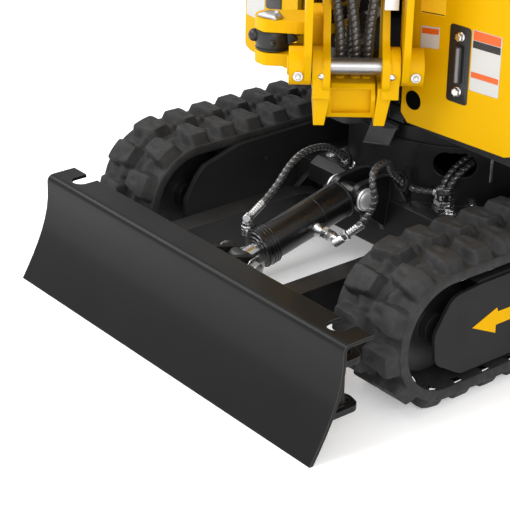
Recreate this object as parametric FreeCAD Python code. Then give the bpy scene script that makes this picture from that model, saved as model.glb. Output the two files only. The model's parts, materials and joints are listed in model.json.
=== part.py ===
import FreeCAD, Part
import os, math
from FreeCAD import Vector as V

# Compact tracked excavator, about one tonne.  Millimetres.
# Working frame while modelling: x = machine's left, y = rearward, z = up,
# slew axis at x = y = 0, ground at z = 0.  At the end everything is moved
# level so that the origin is the bottom centre of the whole machine's box.

# ---------------------------------------------------------------- dimensions
BLADE_W = 930.0          # blade width
BLADE_Y = -806.0         # cutting edge, ahead of the slew axis
BLADE_PIVOT = (-250.0, 128.0)      # y, z of the blade arm hinge
BLADE_PIN = (-593.0, 160.0)        # y, z of the blade cylinder's rod pin
BLADE_CYL_PIN = (-307.0, 228.0)    # y, z of the blade cylinder's base pin

TRACK_X0, TRACK_X1 = 285.0, 465.0  # inner and outer edge of the rubber belt
IDLER_Y, SPROCKET_Y = -471.0, 484.0
TRACK_ZC = 149.0
R_TIP, R_BELT, R_IN = 149.0, 125.0, 107.0
LINKS = 37

DECK_Z0, DECK_Z1 = 400.0, 430.0
HOUSE_X = 410.0
FRONT_Y = -294.0
TAIL_R = 600.0
FLOOR_Z = 741.0

KING_Y = -320.0
SWING = 50.7             # boom swing at rest, degrees to the left
S0, Z0 = 150.0, 554.0    # boom foot pin ahead of the king pin, and its height
FOOT_ANGLE = 52.0        # first length of the boom, above horizontal
A_LEN = 620.0            # first length of the boom
P1 = (1385.0, 1110.0)    # boom tip pin, boom lowered
ARM_ANGLE = -92.0        # arm, boom lowered
ARM_LEN = 790.0
BUCKET_W = 300.0
BOOM_UP = 38.0           # rest pose: boom raised from its lowered drawing
ARM_OUT = 34.0           # rest pose: arm swung out from its drawing
CURL = 68.0              # rest pose: bucket curled in from its drawing
SWING_CLEVIS = (-155.0, 62.0, 578.0)    # w, s, z of the swing cylinder's rod pin on the post
SWING_BASE = (-158.0, 150.0)            # x, y of the swing cylinder's base pin
BOOM_CYL_BASE = (74.0, 722.0)           # s, z
BOOM_CYL_TOP = (470.0, 1132.0)
ARM_CYL_BASE = (760.0, 1262.0)
ARM_CYL_TOP = (1457.0, 1248.0)

def rad(a): return math.radians(a)
P0 = (S0, Z0)
BEND = (S0 + A_LEN*math.cos(rad(FOOT_ANGLE)), Z0 + A_LEN*math.sin(rad(FOOT_ANGLE)))
P2 = (P1[0] + ARM_LEN*math.cos(rad(ARM_ANGLE)), P1[1] + ARM_LEN*math.sin(rad(ARM_ANGLE)))

# ---------------------------------------------------------------- helpers
def box(x0, x1, y0, y1, z0, z1):
    return Part.makeBox(x1-x0, y1-y0, z1-z0, V(x0, y0, z0))

def cyl(p, q, r):
    p, q = V(*p), V(*q); d = q.sub(p)
    return Part.makeCylinder(r, d.Length, p, d)

def tube(p, q, r, ri):
    return cyl(p, q, r).cut(cyl(p, q, ri))

def cone(p, q, r0, r1):
    p, q = V(*p), V(*q); d = q.sub(p)
    return Part.makeCone(r0, r1, d.Length, p, d)

def fuse(*s):
    s = [x for x in s]
    a = s[0]
    if len(s) > 1:
        a = a.multiFuse(s[1:])
    try:
        a = a.removeSplitter()
    except Exception:
        pass
    return a

def wire2(pts, to3):
    """closed wire through 2-D points (a, b[, r]); r rounds that corner"""
    n = len(pts); P = [(p[0], p[1], p[2] if len(p) > 2 else 0.0) for p in pts]
    ed = []; ends = []
    for i in range(n):
        a, b, r = P[i]
        if r <= 0:
            ends.append(((a, b), (a, b), None)); continue
        pa, pb = P[i-1], P[(i+1) % n]
        u = (pa[0]-a, pa[1]-b); v = (pb[0]-a, pb[1]-b)
        lu = math.hypot(*u); lv = math.hypot(*v)
        u = (u[0]/lu, u[1]/lu); v = (v[0]/lv, v[1]/lv)
        ang = math.acos(max(-1, min(1, u[0]*v[0]+u[1]*v[1])))
        t = r/math.tan(ang/2)
        s = (a+u[0]*t, b+u[1]*t); e = (a+v[0]*t, b+v[1]*t)
        bis = (u[0]+v[0], u[1]+v[1]); lb = math.hypot(*bis); bis = (bis[0]/lb, bis[1]/lb)
        h = r/math.sin(ang/2)
        m = (a+bis[0]*(h-r), b+bis[1]*(h-r))
        ends.append((s, e, m))
    for i in range(n):
        s, e, m = ends[i]
        if m:
            ed.append(Part.Arc(V(*to3(*s)), V(*to3(*m)), V(*to3(*e))).toShape())
        nx = ends[(i+1) % n][0]
        if math.hypot(nx[0]-e[0], nx[1]-e[1]) > 1e-6:
            ed.append(Part.LineSegment(V(*to3(*e)), V(*to3(*nx))).toShape())
    return Part.Wire(ed)

def plate_x(pts, x0, x1):
    """profile in (y, z) extruded along x"""
    w = wire2(pts, lambda a, b: (x0, a, b))
    return Part.Face(w).extrude(V(x1-x0, 0, 0))

def plate_z(pts, z0, z1):
    """profile in (x, y) extruded along z"""
    w = wire2(pts, lambda a, b: (a, b, z0))
    return Part.Face(w).extrude(V(0, 0, z1-z0))

def plate_y(pts, y0, y1):
    """profile in (x, z) extruded along y"""
    w = wire2(pts, lambda a, b: (a, y0, b))
    return Part.Face(w).extrude(V(0, y1-y0, 0))

def plate_w(pts, w0, w1):
    """profile in the boom plane (s, z) extruded sideways, boom straight ahead"""
    w = wire2(pts, lambda a, b: (w0, KING_Y-a, b))
    return Part.Face(w).extrude(V(w1-w0, 0, 0))

def cw(s, z, w0, w1, r):
    return cyl((w0, KING_Y-s, z), (w1, KING_Y-s, z), r)

def bp(s, z, w=0.0):
    return (w, KING_Y-s, z)

def swung(sh, extra=0.0):
    sh = sh.copy()
    sh.rotate(V(0, KING_Y, 0), V(0, 0, 1), SWING+extra)
    return sh

def turn(p, c, a):
    """(s, z) point turned about c by a degrees, lifting positive"""
    x, z = p[0]-c[0], p[1]-c[1]; ca, sa = math.cos(rad(a)), math.sin(rad(a))
    return (c[0]+x*ca-z*sa, c[1]+x*sa+z*ca)

def turned(sh, c, a):
    sh = sh.copy()
    sh.rotate(V(0, KING_Y-c[0], c[1]), V(1, 0, 0), -a)
    return sh

# rest pose of the digging gear: boom about P0, arm about P1, bucket about P2
def pose_boom(p): return turn(p, P0, BOOM_UP)
def pose_arm(p): return pose_boom(turn(p, P1, ARM_OUT))
def pose_bucket(p): return pose_arm(turn(p, P2, -CURL))
def put_boom(sh): return swung(turned(sh, P0, BOOM_UP))
def put_arm(sh): return put_boom(turned(sh, P1, ARM_OUT))
def put_bucket(sh): return put_arm(turned(sh, P2, -CURL))

def mirror_x(sh):
    return sh.mirror(V(0, 0, 0), V(1, 0, 0))

NODES = {}
def node(name, shape):
    NODES[name] = shape

def compound(lst):
    return Part.makeCompound(lst)

# ---------------------------------------------------------------- tracks
def loop_profile(r, x0, x1):
    """plain racetrack loop of radius r round both wheels"""
    a = rad(90)
    e = []
    f = lambda y, z: V(x0, y, z)
    e.append(Part.LineSegment(f(IDLER_Y, TRACK_ZC+r), f(SPROCKET_Y, TRACK_ZC+r)).toShape())
    e.append(Part.Arc(f(SPROCKET_Y, TRACK_ZC+r), f(SPROCKET_Y+r, TRACK_ZC), f(SPROCKET_Y, TRACK_ZC-r)).toShape())
    e.append(Part.LineSegment(f(SPROCKET_Y, TRACK_ZC-r), f(IDLER_Y, TRACK_ZC-r)).toShape())
    e.append(Part.Arc(f(IDLER_Y, TRACK_ZC-r), f(IDLER_Y-r, TRACK_ZC), f(IDLER_Y, TRACK_ZC+r)).toShape())
    return Part.Face(Part.Wire(e)).extrude(V(x1-x0, 0, 0))

RP = 120.0               # neutral line of the belt
PITCH = (2*(SPROCKET_Y-IDLER_Y) + 2*math.pi*RP)/LINKS
def loop_point(d, off):
    """point and outward normal at distance d along the neutral line"""
    L = SPROCKET_Y-IDLER_Y; c = math.pi*RP
    d = d % (2*L+2*c)
    if d < L:
        return (IDLER_Y+d, TRACK_ZC+RP+off), (0, 1)
    d -= L
    if d < c:
        t = math.pi/2 - d/RP
        return (SPROCKET_Y+(RP+off)*math.cos(t), TRACK_ZC+(RP+off)*math.sin(t)), (math.cos(t), math.sin(t))
    d -= c
    if d < L:
        return (SPROCKET_Y-d, TRACK_ZC-RP-off), (0, -1)
    d -= L
    t = -math.pi/2 - d/RP
    return (IDLER_Y+(RP+off)*math.cos(t), TRACK_ZC+(RP+off)*math.sin(t)), (math.cos(t), math.sin(t))

def track_outline():
    pts = []
    for i in range(LINKS):
        d0 = i*PITCH + 6.0
        for dd, off in ((-21, R_BELT-RP), (-14, R_TIP-RP), (14, R_TIP-RP), (21, R_BELT-RP)):
            (y, z), n = loop_point(d0+dd, off)
            pts.append((y, z))
    return pts

def make_track(sign):
    out = track_outline()
    body = plate_x(out, TRACK_X0, TRACK_X1).cut(loop_profile(R_IN, TRACK_X0-1, TRACK_X1+1))
    low = body.BoundBox.ZMin
    return body if sign > 0 else mirror_x(body)

node("left_track", make_track(1))
node("right_track", make_track(-1))

# side frames fill the belt loop, with an inner and an outer cover plate
def make_side_frame(sign):
    core = plate_x([(IDLER_Y+60, 62, 20), (SPROCKET_Y-70, 62, 20), (SPROCKET_Y-70, 236, 20), (IDLER_Y+60, 236, 20)], 292, 452)
    inner = plate_x([(-522, 122, 12), (-520, 172, 20), (-493, 215, 25), (-473, 236, 25), (-380, 262, 60), (-120, 266, 40), (430, 266, 40),
                     (470, 210, 40), (470, 90, 40), (420, 58, 30), (-430, 58, 30), (-500, 80, 30)], 270, 282)
    web = plate_x([(-500, 110, 12), (-495, 180, 20), (-440, 236, 25), (430, 236, 40),
                     (460, 200, 40), (460, 90, 40), (420, 62, 30), (-430, 62, 30)], 281, 293)
    outer = plate_x([(-506, 100, 30), (-512, 160, 30), (-470, 226, 40), (-395, 232, 20), (400, 232, 20), (478, 224, 40), (512, 160, 30), (506, 100, 30), (440, 60, 30), (-440, 60, 30)], 452, 460)
    # pockets for the wheels
    body = fuse(core, inner, web, outer)
    body = body.cut(cyl((292, IDLER_Y, TRACK_ZC), (452, IDLER_Y, TRACK_ZC), 108))
    body = body.cut(cyl((292, SPROCKET_Y, TRACK_ZC), (452, SPROCKET_Y, TRACK_ZC), 108))
    # roller window along the bottom
    body = body.cut(box(300, 444, IDLER_Y+90, SPROCKET_Y-100, 50, 115))
    body = body.cut(cyl((260, SPROCKET_Y, TRACK_ZC), (340, SPROCKET_Y, TRACK_ZC), 77))
    return body if sign > 0 else mirror_x(body)

node("left_track_frame", make_side_frame(1))
node("right_track_frame", make_side_frame(-1))

def wheel(y, r, w, boss):
    c = (TRACK_X0+TRACK_X1)/2
    a = fuse(cyl((c-w/2, y, TRACK_ZC), (c+w/2, y, TRACK_ZC), r), cyl((c-boss/2, y, TRACK_ZC), (c+boss/2, y, TRACK_ZC), 30))
    return a
idl = fuse(wheel(IDLER_Y, 92, 60, 100), wheel(IDLER_Y, 105, 26, 60))
node("track_idlers", compound([idl, mirror_x(idl)]))
spr = wheel(SPROCKET_Y, 96, 36, 90)
teeth = []
for k in range(11):
    t = 2*math.pi*k/11
    tt = box(357, 393, -9, 9, 90, 105)
    tt.rotate(V(0, 0, 0), V(1, 0, 0), math.degrees(t)); tt.translate(V(0, SPROCKET_Y, TRACK_ZC))
    teeth.append(tt)
spr = fuse(spr, *teeth)
node("drive_sprockets", compound([spr, mirror_x(spr)]))
mot = fuse(cyl((240, SPROCKET_Y, TRACK_ZC), (300, SPROCKET_Y, TRACK_ZC), 62), cyl((300, SPROCKET_Y, TRACK_ZC), (328, SPROCKET_Y, TRACK_ZC), 74), cyl((212, SPROCKET_Y, TRACK_ZC), (240, SPROCKET_Y, TRACK_ZC), 44))
node("travel_motors", compound([mot, mirror_x(mot)]))
rol = []
for y in (-290, -130, 30, 190, 330):
    r = fuse(cyl((318, y, 78), (352, y, 78), 34), cyl((398, y, 78), (432, y, 78), 34), cyl((303, y, 78), (441, y, 78), 14))
    rol += [r, mirror_x(r)]
node("track_rollers", compound(rol))

# ---------------------------------------------------------------- undercarriage
def make_undercarriage():
    b = []
    # centre box with sloping front, side legs and pedestal
    b.append(plate_x([(-250, 100), (-236, 205), (-215, 218), (240, 218), (250, 205), (250, 96), (-246, 96)], -210, 210))
    b.append(plate_z([(-270, -225), (270, -225), (270, -60, 10), (215, 0, 10), (270, 80, 10), (270, 245), (-270, 245), (-270, 80, 10), (-215, 0, 10), (-270, -60, 10)], 100, 205))
    b.append(cyl((0, 0, 210), (0, 0, 345), 236))
    body = fuse(*b)
    body = body.cut(cyl((0, 0, 222), (0, 0, 346), 205))
    # oval window in the pedestal wall for the travel and blade hoses
    t = (0.743, 0.669)
    wa = [cyl((100+t[0]*d, -111+t[1]*d, 307), (220+t[0]*d, -244+t[1]*d, 307), 26) for d in (-18, 0, 18)]
    body = body.cut(wa[0]).cut(wa[1]).cut(wa[2])
    # room for the ends of the blade arms
    for sx in (1, -1):
        c = fuse(cyl((148.2, BLADE_PIVOT[0], BLADE_PIVOT[1]), (205.8, BLADE_PIVOT[0], BLADE_PIVOT[1]), 42), box(148.2, 205.8, -320, BLADE_PIVOT[0], 90, 205))
        body = body.cut(c if sx > 0 else mirror_x(c))
    # blade hinge ears
    ears = []
    for sx in (1, -1):
        for x0, x1 in ((136, 148), (206, 218)):
            e = plate_x([(-215, 98), (-215, 190), (-245, 178, 10), (-284, 150, 22), (-284, 104, 22), (-250, 96, 5)], x0, x1)
            ears.append(e if sx > 0 else mirror_x(e))
    for sx in (1, -1):
        c = cyl((124, BLADE_PIVOT[0], BLADE_PIVOT[1]), (230, BLADE_PIVOT[0], BLADE_PIVOT[1]), 15)
        ears.append(c if sx > 0 else mirror_x(c))
    # blade cylinder base bracket
    cy, cz = BLADE_CYL_PIN
    for x0, x1 in ((-36, -23), (23, 36)):
        ears.append(plate_x([(-225, 100), (-225, 258, 20), (-262, 262, 20), (cy-14, cz+28, 22), (cy-27, cz-4, 22), (cy-6, cz-30, 15), (-246, 150, 10), (-240, 100)], x0, x1))
    ears.append(cyl((-40, cy, cz), (40, cy, cz), 14))
    ears.append(tube((36, cy, cz), (44, cy, cz), 24, 14))
    ears.append(tube((-44, cy, cz), (-36, cy, cz), 24, 14))
    # hose guide rings on stalks
    for gx, gy, gz in ((-80, -255, 262), (80, -245, 263)):
        ears.append(tube((gx, gy-4, gz), (gx, gy+4, gz), 21, 15.5))
        ears.append(cyl((gx, gy, gz-17), (gx, -216, 200), 5))
    # gland for the hose from the barrel's front port, and the riser of the other
    ears.append(cyl((-82, -240, 245), (-82, -202, 201.3), 9.5))
    ears.append(cyl((157, -199, 210), (157, -199, 256), 17))
    return fuse(body, *ears)
node("undercarriage_frame", make_undercarriage())
node("slew_ring", fuse(tube((0, 0, 345), (0, 0, 385), 232, 178), tube((0, 0, 352), (0, 0, 378), 240, 200)))

# ---------------------------------------------------------------- blade
def make_moldboard():
    H = BLADE_W/2
    f = BLADE_Y
    # the rolled plate, 7 thick, with its top folded back
    outer = [(f, 0), (f+14.5, 24), (f+28.2, 48), (f+40.5, 72), (f+51.2, 96), (f+59.8, 120), (f+66.1, 144), (f+69.3, 166), (f+70.0, 186), (f+70.5, 217, 14), (f+138, 217)]
    inner = [(f+138, 210), (f+77.5, 210, 7), (f+77.0, 186.2), (f+76.3, 165.4), (f+72.9, 142.6), (f+66.5, 117.9), (f+57.7, 93.4), (f+46.8, 69.0), (f+34.3, 44.7), (f+20.6, 20.4), (f+8.2, 0)]
    mb = plate_x(outer+inner, -H, H)
    return mb
mb = make_moldboard()
# end plates with the wing pin ears, and the hooked notches in the top flange
def blade_end(sign):
    H = BLADE_W/2; f = BLADE_Y
    g = plate_x([(f+46, 76), (f+62, 112), (f+73, 150), (f+75, 186), (f+75, 212), (f+88, 212), (f+88, 76)], H-24, H-14)
    e1 = plate_z([(H-60, f+72.5), (H-2, f+72.5), (H-2, f+118, 20), (H-60, f+134, 25)], 172, 183)
    e2 = plate_z([(H-60, f+49), (H-2, f+49), (H-2, f+114, 20), (H-60, f+128, 25)], 76, 87)
    s = fuse(g, e1, e2)
    s = s.cut(cyl((H-30, f+103, 60), (H-30, f+103, 196), 9))
    return s if sign > 0 else mirror_x(s)
notch = fuse(box(380, 420, BLADE_Y+112, BLADE_Y+140, 200, 220), cyl((400, BLADE_Y+112, 200), (400, BLADE_Y+112, 220), 20))
mb = mb.cut(notch).cut(mirror_x(notch))
mb = fuse(mb, blade_end(1), blade_end(-1))
node("blade", mb)

def make_blade_arms():
    f = BLADE_Y
    s = []
    for sx in (1, -1):
        a = plate_x([(f+56, 97), (f+60, 106), (f+73, 150), (f+74, 172), (BLADE_PIVOT[0]-60, 172, 20), (BLADE_PIVOT[0]+24, 152, 20), (BLADE_PIVOT[0]+24, 106, 20), (BLADE_PIVOT[0]-30, 100, 10), (BLADE_PIVOT[0]-120, 96, 10)], 152, 202)
        a = a.cut(cyl((140, BLADE_PIVOT[0], BLADE_PIVOT[1]), (220, BLADE_PIVOT[0], BLADE_PIVOT[1]), 15.3))
        s.append(a if sx > 0 else mirror_x(a))
    # cross plate behind the moldboard and the rod bracket
    s.append(plate_x([(f+57.5, 100), (f+60, 106), (f+73, 150), (f+150, 140, 10), (f+156, 112, 10), (f+150, 100)], -160, 160))
    for x0, x1 in ((-36, -23), (23, 36)):
        s.append(plate_x([(f+61, 108), (f+73, 150), (f+73, 200), (f+140, 200, 10), (f+170, 192, 10), (BLADE_PIN[0]+18, BLADE_PIN[1]+16, 15), (BLADE_PIN[0]+18, BLADE_PIN[1]-19, 15), (f+160, 108)], x0, x1))
    s.append(cyl((20, BLADE_PIN[0], BLADE_PIN[1]), (46, BLADE_PIN[0], BLADE_PIN[1]), 11))
    s.append(cyl((-46, BLADE_PIN[0], BLADE_PIN[1]), (-20, BLADE_PIN[0], BLADE_PIN[1]), 11))
    return fuse(*s).cut(make_moldboard())
node("blade_arms", make_blade_arms())

def along(p, q, d):
    L = math.dist(p, q)
    return tuple(p[i]+(q[i]-p[i])*d/L for i in range(3))

def cylinder_pair(base, tip, bl, br, rr, eye_w, eye_r, axis, rod_eye_r=None, rod_eye_w=None, stroke_in=30.0):
    """barrel from base pin, rod to tip pin; axis is the pin direction"""
    rod_eye_r = rod_eye_r or eye_r
    ax = V(*axis)
    hb = ax*(eye_w/2)
    rod_eye_w = rod_eye_w or eye_w
    hr = ax*(rod_eye_w/2)
    b = V(*base); t = V(*tip)
    def P(d): return along(base, tip, d)
    L = math.dist(base, tip)
    eye = Part.makeCylinder(eye_r, eye_w, b-hb, ax)
    neck = cyl(P(eye_r*0.5), P(eye_r+8), min(eye_r*0.8, eye_w/2))
    tubeb = cyl(P(eye_r+4), P(bl), br)
    gland = cyl(P(bl-26), P(bl), br+3)
    barrel = fuse(eye, neck, tubeb, gland)
    barrel = barrel.cut(cyl(P(eye_r+8), P(bl+1), rr+0.4))
    reye = Part.makeCylinder(rod_eye_r, rod_eye_w, t-hr, ax)
    rod = cyl(P(eye_r+12+stroke_in), P(L-rod_eye_r*0.5), rr)
    rodb = fuse(reye, rod)
    return barrel, rodb

b3 = (0, BLADE_CYL_PIN[0], BLADE_CYL_PIN[1]); t3 = (0, BLADE_PIN[0], BLADE_PIN[1])
bb, rr = cylinder_pair(b3, t3, 247, 38, 17, 45, 22, (1, 0, 0), 20, 39)
bb = bb.fuse([cyl((30, -431, 196), (52, -431, 196), 8), cyl((-34, -548, 186), (-34, -548, 196), 8)])
bb = bb.cut(cyl((-30, b3[1], b3[2]), (30, b3[1], b3[2]), 14.3))
node("blade_cylinder_barrel", bb)
node("blade_cylinder_rod", rr)

# ---------------------------------------------------------------- house
def tail_y(x, r=TAIL_R):
    return math.sqrt(r*r-x*x)

def house_outline(off=0.0, y_front=None, y_min=None):
    """plan outline edges are returned as a face at z = 0"""
    h = HOUSE_X-off; r = TAIL_R-off
    yt = math.sqrt(r*r-h*h)
    f = FRONT_Y+off if y_min is None else y_min
    pts = [V(h, f, 0), V(h, yt, 0)]
    e = [Part.LineSegment(V(h, f, 0), V(h, yt, 0)).toShape(),
         Part.Arc(V(h, yt, 0), V(0, r, 0), V(-h, yt, 0)).toShape(),
         Part.LineSegment(V(-h, yt, 0), V(-h, f, 0)).toShape(),
         Part.LineSegment(V(-h, f, 0), V(h, f, 0)).toShape()]
    return Part.Face(Part.Wire(e))

def prism(face, z0, z1):
    f = face.copy(); f.translate(V(0, 0, z0))
    return f.extrude(V(0, 0, z1-z0))

def make_house_frame():
    deck = prism(house_outline(8), DECK_Z0, DECK_Z1)
    deck = deck.cut(box(-420, 420, -300, -268, 390, 440).cut(box(-60, 60, -310, -250, 380, 450)))
    # bay cut in the deck ahead of y = -180, and the king pin lugs
    # the deck stops short of the covers' front walls
    deck = deck.cut(box(100, 420, -300, -262, 380, 440))
    deck = deck.cut(box(-420, -198, -300, -222, 380, 440))
    s = [deck]
    low = plate_z([(-58, -120), (-58, KING_Y-20, 20), (-40, KING_Y-50, 20), (40, KING_Y-50, 20), (58, KING_Y-20, 20), (58, -120)], 404, 436)
    up = plate_z([(-79, -120), (-79, -200, 20), (-56, KING_Y-30, 20), (-30, KING_Y-52, 20), (30, KING_Y-52, 20), (56, KING_Y-30, 20), (84, -200, 20), (84, -120)], 522, 550)
    s += [low, up]
    for sx in (1, -1):
        w = plate_x([(-262, 430), (-262, 522, 8), (80, 522, 30), (110, 430)], 66, 80)
        s.append(w if sx > 0 else mirror_x(w))
    # bay back wall
    s.append(plate_y([(-205, 430), (-205, 735, 10), (117.5, 735, 10), (117.5, 430)], -120, -112).cut(box(-196, -66, -130, -100, 532, 624)).cut(box(-210, -190, -130, -100, 548, 608)))
    # swing cylinder base bracket
    for z0, z1 in ((525, 543), (613, 631)):
        s.append(plate_z([(-200, 110, 10), (-135, 110, 10), (-135, 200, 10), (-200, 200, 10)], z0, z1))
    s.append(box(-205, -130, 200, 214, 430, 640))
    body = fuse(*s)
    body = body.cut(cyl((0, KING_Y, 395), (0, KING_Y, 560), 25.2))
    # inner race of the slewing ring
    body = fuse(body, tube((0, 0, 386.5), (0, 0, 400), 190, 150))
    return body
node("house_frame", make_house_frame())
node("king_pin", fuse(cyl((0, KING_Y, 398), (0, KING_Y, 556), 25), cyl((0, KING_Y, 551), (0, KING_Y, 559), 34)))

def front_cover(sign):
    T = 5.0
    xi = 118.0 if sign > 0 else 205.0
    k = 24.0/278.0       # slope of the front face in plan
    f = FRONT_Y+(k*(205.0-118.0) if sign < 0 else 0.0)
    top = FLOOR_Z-1
    # plan of the cover
    pl = [(xi, f), (396, FRONT_Y+24, 10), (HOUSE_X, FRONT_Y+48, 14), (HOUSE_X, -100), (xi, -100)]
    a = plate_z(pl, DECK_Z1, top)
    pin = [(xi+T, f+T+0.5), (396-T*0.4, FRONT_Y+24+T, 6), (HOUSE_X-T, FRONT_Y+48+T*0.4, 10), (HOUSE_X-T, -90), (xi+T, -90)]
    b = plate_z(pin, DECK_Z1-5, top-T)
    c = a.cut(b)
    # the front wall hangs below the deck's top
    lip = plate_z([(xi, f), (392, FRONT_Y+24-4*k), (392, FRONT_Y+29-4*k), (xi, f+T)], 419, DECK_Z1+2)
    c = fuse(c, lip)
    c = c.cut(plate_y([(412, 400), (412, 456), (405, 438), (392, 426), (372, 418.5), (372, 400)], -320, -262))
    return c if sign > 0 else mirror_x(c)
lfc = front_cover(1)
lfc = lfc.cut(cyl((148, -310, 468), (148, -280, 468), 15))
# lower inner corner is chamfered
lfc = lfc.cut(plate_y([(114, 410), (136, 410), (136, 419), (114, 440)], -300, -284))
node("left_front_cover", lfc)
rfc = front_cover(-1)
# slot beside the swing cylinder
rfc = rfc.cut(box(-240, -198, -275, -90, 547, 609))
node("right_front_cover", rfc)

def side_cover(sign):
    T = 5.0
    a = box(HOUSE_X-60, HOUSE_X, -98, 330, DECK_Z1, 800)
    b = box(HOUSE_X-70, HOUSE_X-T, -93, 325, DECK_Z1-5, 795)
    c = a.cut(b)
    return c if sign > 0 else mirror_x(c)
node("left_side_cover", side_cover(1))
node("right_side_cover", side_cover(-1))

floor = box(-400, 400, FRONT_Y+8, 66, FLOOR_Z, FLOOR_Z+8)
floor = floor.cut(box(-420, -343, -99, 100, 700, 760)).cut(box(343, 420, -99, 100, 700, 760))
node("operator_floor", floor)

ped = box(-300, 300, 70, 334, FLOOR_Z+10, 955).cut(box(-295, 295, 75, 340, FLOOR_Z, 950))
ped = fuse(ped, box(-170, 170, 85, 300, 955, 974.5))
node("seat_pedestal", ped)

cw_ = prism(house_outline(0, y_min=340), DECK_Z1+1, 560)
node("counterweight", cw_)
HINGE = (-404.0, 338.0)  # x, y of the hood's upright hinge axis
def make_hood():
    o = prism(house_outline(0, y_min=340), 564, 955)
    i = prism(house_outline(5, y_min=330), 560, 950)
    h = o.cut(i).cut(box(-415, -388, 339, 356, 560, 960))
    for z in (600, 730):
        h = fuse(h, tube((HINGE[0], HINGE[1], z), (HINGE[0], HINGE[1], z+40), 8, 4.4), box(-410, -402, 345.2, 362, z, z+40))
    return h
node("engine_hood", make_hood())
eng = box(-110, 230, 118, 332, 436, 735)
node("engine", eng)

def console(sign):
    a = plate_x([(90, 801), (90, 900, 20), (60, 985, 25), (250, 985, 25), (282, 940, 20), (282, 801)], 310, 400)
    return a if sign > 0 else mirror_x(a)
node("left_console", console(1))
node("right_console", console(-1))
def joystick(x):
    return fuse(cyl((x, 99, 990), (x, 88, 1060), 7), cyl((x, 88, 1056), (x, 78, 1135), 19), cone((x, 100, 985), (x, 100, 1012), 30, 12))
node("joysticks", compound([joystick(352), joystick(-352)]))
def tlever(x):
    return fuse(box(x-18, x+18, -215, -140, FLOOR_Z+8, FLOOR_Z+26), cyl((x, -178, FLOOR_Z+20), (x, -150, 960), 8), cyl((x, -150, 955), (x+(22 if x > 0 else -22), -145, 1040), 13), box(x-30 if x < 0 else x-10, x+10 if x < 0 else x+30, -250, -180, FLOOR_Z+30, FLOOR_Z+38))
node("travel_levers", compound([tlever(48), tlever(-48)]))

cush = plate_x([(50, 975, 25), (45, 1035, 30), (300, 1035, 20), (305, 975, 20)], -215, 215)
node("seat_cushion", cush)
back = plate_x([(310, 1000, 20), (330, 1380, 24), (385, 1375, 24), (372, 1000, 20)], -205, 205)
node("seat_backrest", back)

def canopy():
    s = []
    for sx in (1, -1):
        x = sx*347.0
        s.append(box(x-25, x+25, 284, 334, DECK_Z1+1, 2110))
    b = fuse(s[0], box(-372, 372, 284, 334, 2110, 2160), s[1])
    for sx in (1, -1):
        x = sx*300.0
        b = fuse(b, plate_x([(300, 2120), (300, 2160), (-240, 2168, 12), (-240, 2130, 10)], x-20, x+20))
    return b
can = canopy()
node("canopy_frame", can)
roof = plate_x([(-300, 2171, 6), (-290, 2200, 25), (-200, 2222, 60), (350, 2222, 60), (420, 2200, 25), (430, 2171, 6)], -400, 400)
node("canopy_roof", roof)
node("exhaust_pipe", fuse(cyl((-250, 420, 580), (-250, 520, 600), 24)))
del NODES["exhaust_pipe"]

# seat pedestal and console openings where the posts pass
post_clear = [box(347-29, 347+29, 280, 338, 400, 2200), box(-347-29, -347+29, 280, 338, 400, 2200)]
hk = []
for z in (600, 730):
    for za, zb in ((z-16, z-1), (z+41, z+56)):
        hk += [cyl((HINGE[0], HINGE[1], za), (HINGE[0], HINGE[1], zb), 8), box(-410, -402, 320, 331, za, zb)]
    hk.append(cyl((HINGE[0], HINGE[1], z-10), (HINGE[0], HINGE[1], z+50), 4))

NODES["right_side_cover"] = fuse(NODES["right_side_cover"], *hk[:3], *hk[3:6], *hk[6:])
for nm in ("left_side_cover", "right_side_cover", "seat_pedestal", "left_console", "right_console"):
    for pc in post_clear:
        NODES[nm] = NODES[nm].cut(pc)

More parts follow.
